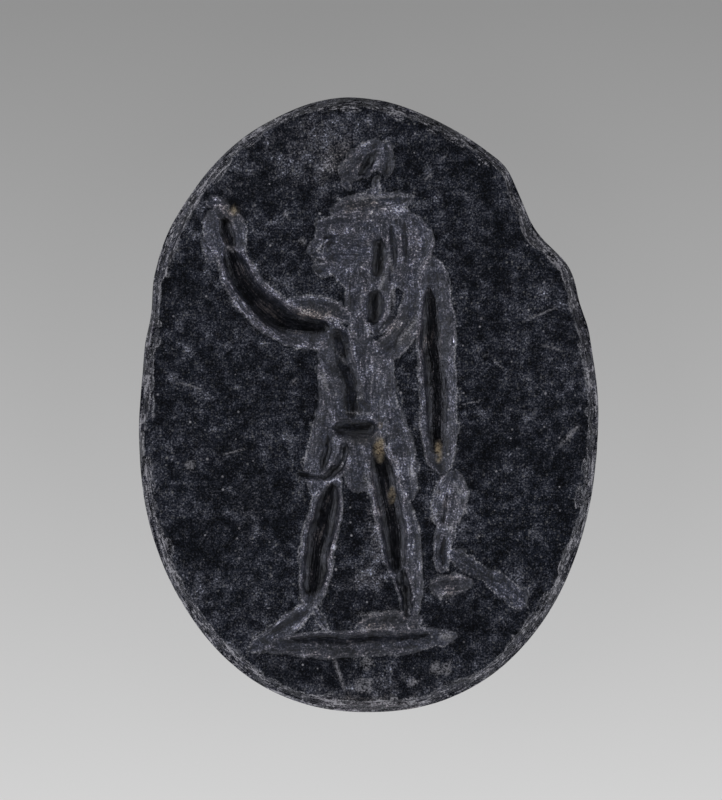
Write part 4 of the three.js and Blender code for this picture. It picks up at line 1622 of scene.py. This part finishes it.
        # Painted glints along the bevel's inner edge.
        lip = skin.bevelled.ramp(0.05, 0.4) * (1 - skin.bevelled.ramp(0.6, 0.95))
        lip = lip * (skin.rim + skin.fine * 0.6).ramp(0.0, 0.16) * skin.above
        colour = graph.mix(lip, colour, self.glint)
        # Scratches and pits in the glint colour: partly their own paleness, partly painted highlight; those
        # of no depth are painted highlight only.
        scratched = graph.trait("scratched") * (skin.fine + skin.middling * 0.5).ramp(-0.16, 0.1)
        return graph.mix(scratched * 0.8, colour, self.glint)

    def _relief(self, graph: Graph, skin: Skin) -> bpy.types.NodeSocket:
        """Makes the unevenness that is too fine for the mesh.

        Args:
            graph: The material's nodes.
            skin: What is read at each place.

        Returns:
            The bumped normal.
        """
        grainy = skin.flat * 0.005 + skin.walled * 0.02 - skin.bed * 0.014 + skin.bevelled * 0.022
        height = skin.fine * grainy + skin.middling * (skin.flat * 0.006 + skin.walled * 0.02)
        height = height + skin.stroke * skin.walled * 0.014 + skin.rim * skin.bevelled * 0.06
        bump = graph.node("ShaderNodeBump", {}, {"Strength": 1.0, "Distance": MM, "Height": height})
        return bump.outputs[0]


@dataclass(frozen=True)
class SheetFinish:
    """Graduated backdrop film, pale and lit from below, darker towards the head of the stone.

    Attributes:
        matte: How much of the light from above it gives back.
        head: Its own light beside the stone's head.
        foot: Its own light beside the stone's foot.
        half: Half the length that it is graduated over, in millimetres.
    """

    matte: Colour = (0.18, 0.18, 0.18)
    head: float = 0.52
    foot: float = 0.79
    half: float = 10.5

    def material(self) -> bpy.types.Material:
        """Builds the material.

        Returns:
            The sheet's material.
        """
        graph = Graph(bpy.data.materials.new("graduated_film"))
        share = (0.5 - graph.parts(graph.millimetres())[1] / (2 * self.half)).clamped()
        light = (share * (self.foot - self.head) + self.head) ** 2.2
        glow = graph.vector(light, light, light)
        return graph.finish(
            Base_Color=(*self.matte, 1), Roughness=0.9, Emission_Color=glow, Emission_Strength=1.0
        )


@dataclass
class Ground:
    """The pale sheet that the stone lies on.

    Attributes:
        reach: How far it runs each way, in metres.
        sheet: Its thickness, in metres.
        finish: What it is made of.
    """

    reach: float = 0.6
    sheet: float = 0.002
    finish: SheetFinish = field(default_factory=SheetFinish)

    def build(self) -> bpy.types.Object:
        """Models the sheet.

        Returns:
            The sheet, with its material.
        """
        bpy.ops.object.select_all(action="DESELECT")
        bpy.ops.mesh.primitive_circle_add(vertices=96, radius=self.reach, fill_type="NGON")
        sheet = bpy.context.object
        sheet.name = "ground_sheet"
        bpy.ops.object.mode_set(mode="EDIT")
        bpy.ops.mesh.select_all(action="SELECT")
        bpy.ops.mesh.extrude_region_move(TRANSFORM_OT_translate={"value": (0, 0, -self.sheet)})
        bpy.ops.mesh.select_all(action="SELECT")
        bpy.ops.mesh.normals_make_consistent(inside=False)
        bpy.ops.object.mode_set(mode="OBJECT")
        sheet.data.materials.append(self.finish.material())
        return sheet


@dataclass(frozen=True)
class Softbox:
    """A soft lamp round the stone.

    Attributes:
        name: Which side it stands on.
        azimuth: Its direction from the stone, in degrees from the right and by the top.
        elevation: How high it stands, in degrees.
        width: Its width, in metres.
        height: Its height, in metres.
        glow: How bright its face is.
    """

    name: str
    azimuth: float
    elevation: float
    width: float
    height: float
    glow: float


@dataclass
class Studio:
    """The lamps round the stone, the dim room and the camera straight above.

    Attributes:
        distance: How far the lamps stand from the stone, in metres.
        ceiling: How bright the room is straight above.
        walls: How bright the room is towards the floor.
        boxes: The lamps.
    """

    distance: float = 0.3
    ceiling: float = 0.012
    walls: float = 0.16
    boxes: tuple[Softbox, ...] = (
        Softbox("left", 180, 38, 0.16, 0.16, 1.3),
        Softbox("right", 0, 38, 0.14, 0.14, 1.05),
        Softbox("head", 90, 38, 0.14, 0.12, 0.65),
        Softbox("foot", 270, 38, 0.14, 0.12, 0.8),
        Softbox("upper_left", 135, 30, 0.08, 0.14, 1.2),
        Softbox("lower_right", 315, 30, 0.08, 0.14, 1.0),
    )

    def light(self) -> None:
        """Sets up the lamps and the room."""
        for box in self.boxes:
            turn, lift = math.radians(box.azimuth), math.radians(box.elevation)
            way = Vector((math.cos(turn) * math.cos(lift), math.sin(turn) * math.cos(lift), math.sin(lift)))
            bpy.ops.object.light_add(type="AREA", location=way * self.distance)
            lamp = bpy.context.object
            lamp.name = "softbox_" + box.name
            lamp.rotation_euler = way.to_track_quat("Z", "Y").to_euler()
            lamp.data.shape = "RECTANGLE"
            lamp.data.size = box.width
            lamp.data.size_y = box.height
            lamp.data.energy = box.glow * math.pi * box.width * box.height
            lamp.visible_camera = False
        self._room()

    def _room(self) -> None:
        """Makes the room: dark overhead and dim towards the floor."""
        world = bpy.data.worlds.new("studio_room")
        bpy.context.scene.world = world
        graph = Graph(world)
        way = graph.node("ShaderNodeTexCoord").outputs["Generated"]
        levels = {0: graph.parts(way)[2], 1: 0.35, 2: 0.85, 3: self.walls, 4: self.ceiling}
        level = graph.node("ShaderNodeMapRange", {"interpolation_type": "SMOOTHSTEP"}, levels)
        glow = graph.node("ShaderNodeBackground", {}, {"Strength": level.outputs[0]})
        graph.node("ShaderNodeOutputWorld", {}, {"Surface": glow.outputs[0]})


@dataclass
class Viewpoint:
    """The camera, straight above the stone with a long lens.

    Attributes:
        lens: Its focal length, in millimetres.
        sensor: The long side of its sensor, in millimetres.
        frame_height: The height of what it sees in the plane of the face, in metres.
        aim: Where it looks, from the stone's middle, in metres.
    """

    lens: float = 600.0
    sensor: float = 36.0
    frame_height: float = 0.02084
    aim: Point = (-0.000196, 0.000144)

    def place(self, face: float) -> None:
        """Puts the camera up.

        Args:
            face: How high the engraved face lies, in metres.
        """
        away = self.frame_height * self.lens / self.sensor
        bpy.ops.object.camera_add(location=(*self.aim, face + away), rotation=(0, 0, 0))
        camera = bpy.context.object
        camera.name = "camera"
        camera.data.lens = self.lens
        camera.data.sensor_width = self.sensor
        camera.data.clip_start = away / 100
        camera.data.clip_end = away * 20
        scene = bpy.context.scene
        scene.camera = camera
        scene.view_settings.view_transform = "Standard"


def main() -> None:
    """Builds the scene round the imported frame."""
    logging.basicConfig(level=logging.INFO, format="%(name)s: %(message)s")
    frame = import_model()
    low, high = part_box("gem")
    LOG.info("frame loaded: %d node, %.2f by %.2f by %.2f mm", len(frame["nodes"]), *((high - low) / MM))

    ground = Ground().build()
    LOG.info("ground sheet laid")

    gem = EngravedGem(thickness=(high.z - low.z) / MM).build()
    gem.data.materials.append(HematiteFinish().material())
    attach(gem, "root")
    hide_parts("gem")
    gem.data.calc_loop_triangles()
    LOG.info("gem built: %d vertices, %d triangles", len(gem.data.vertices), len(gem.data.loop_triangles))

    Studio().light()
    Viewpoint().place(high.z)
    LOG.info("lamps and camera set")


if __name__ == "__main__":
    main()
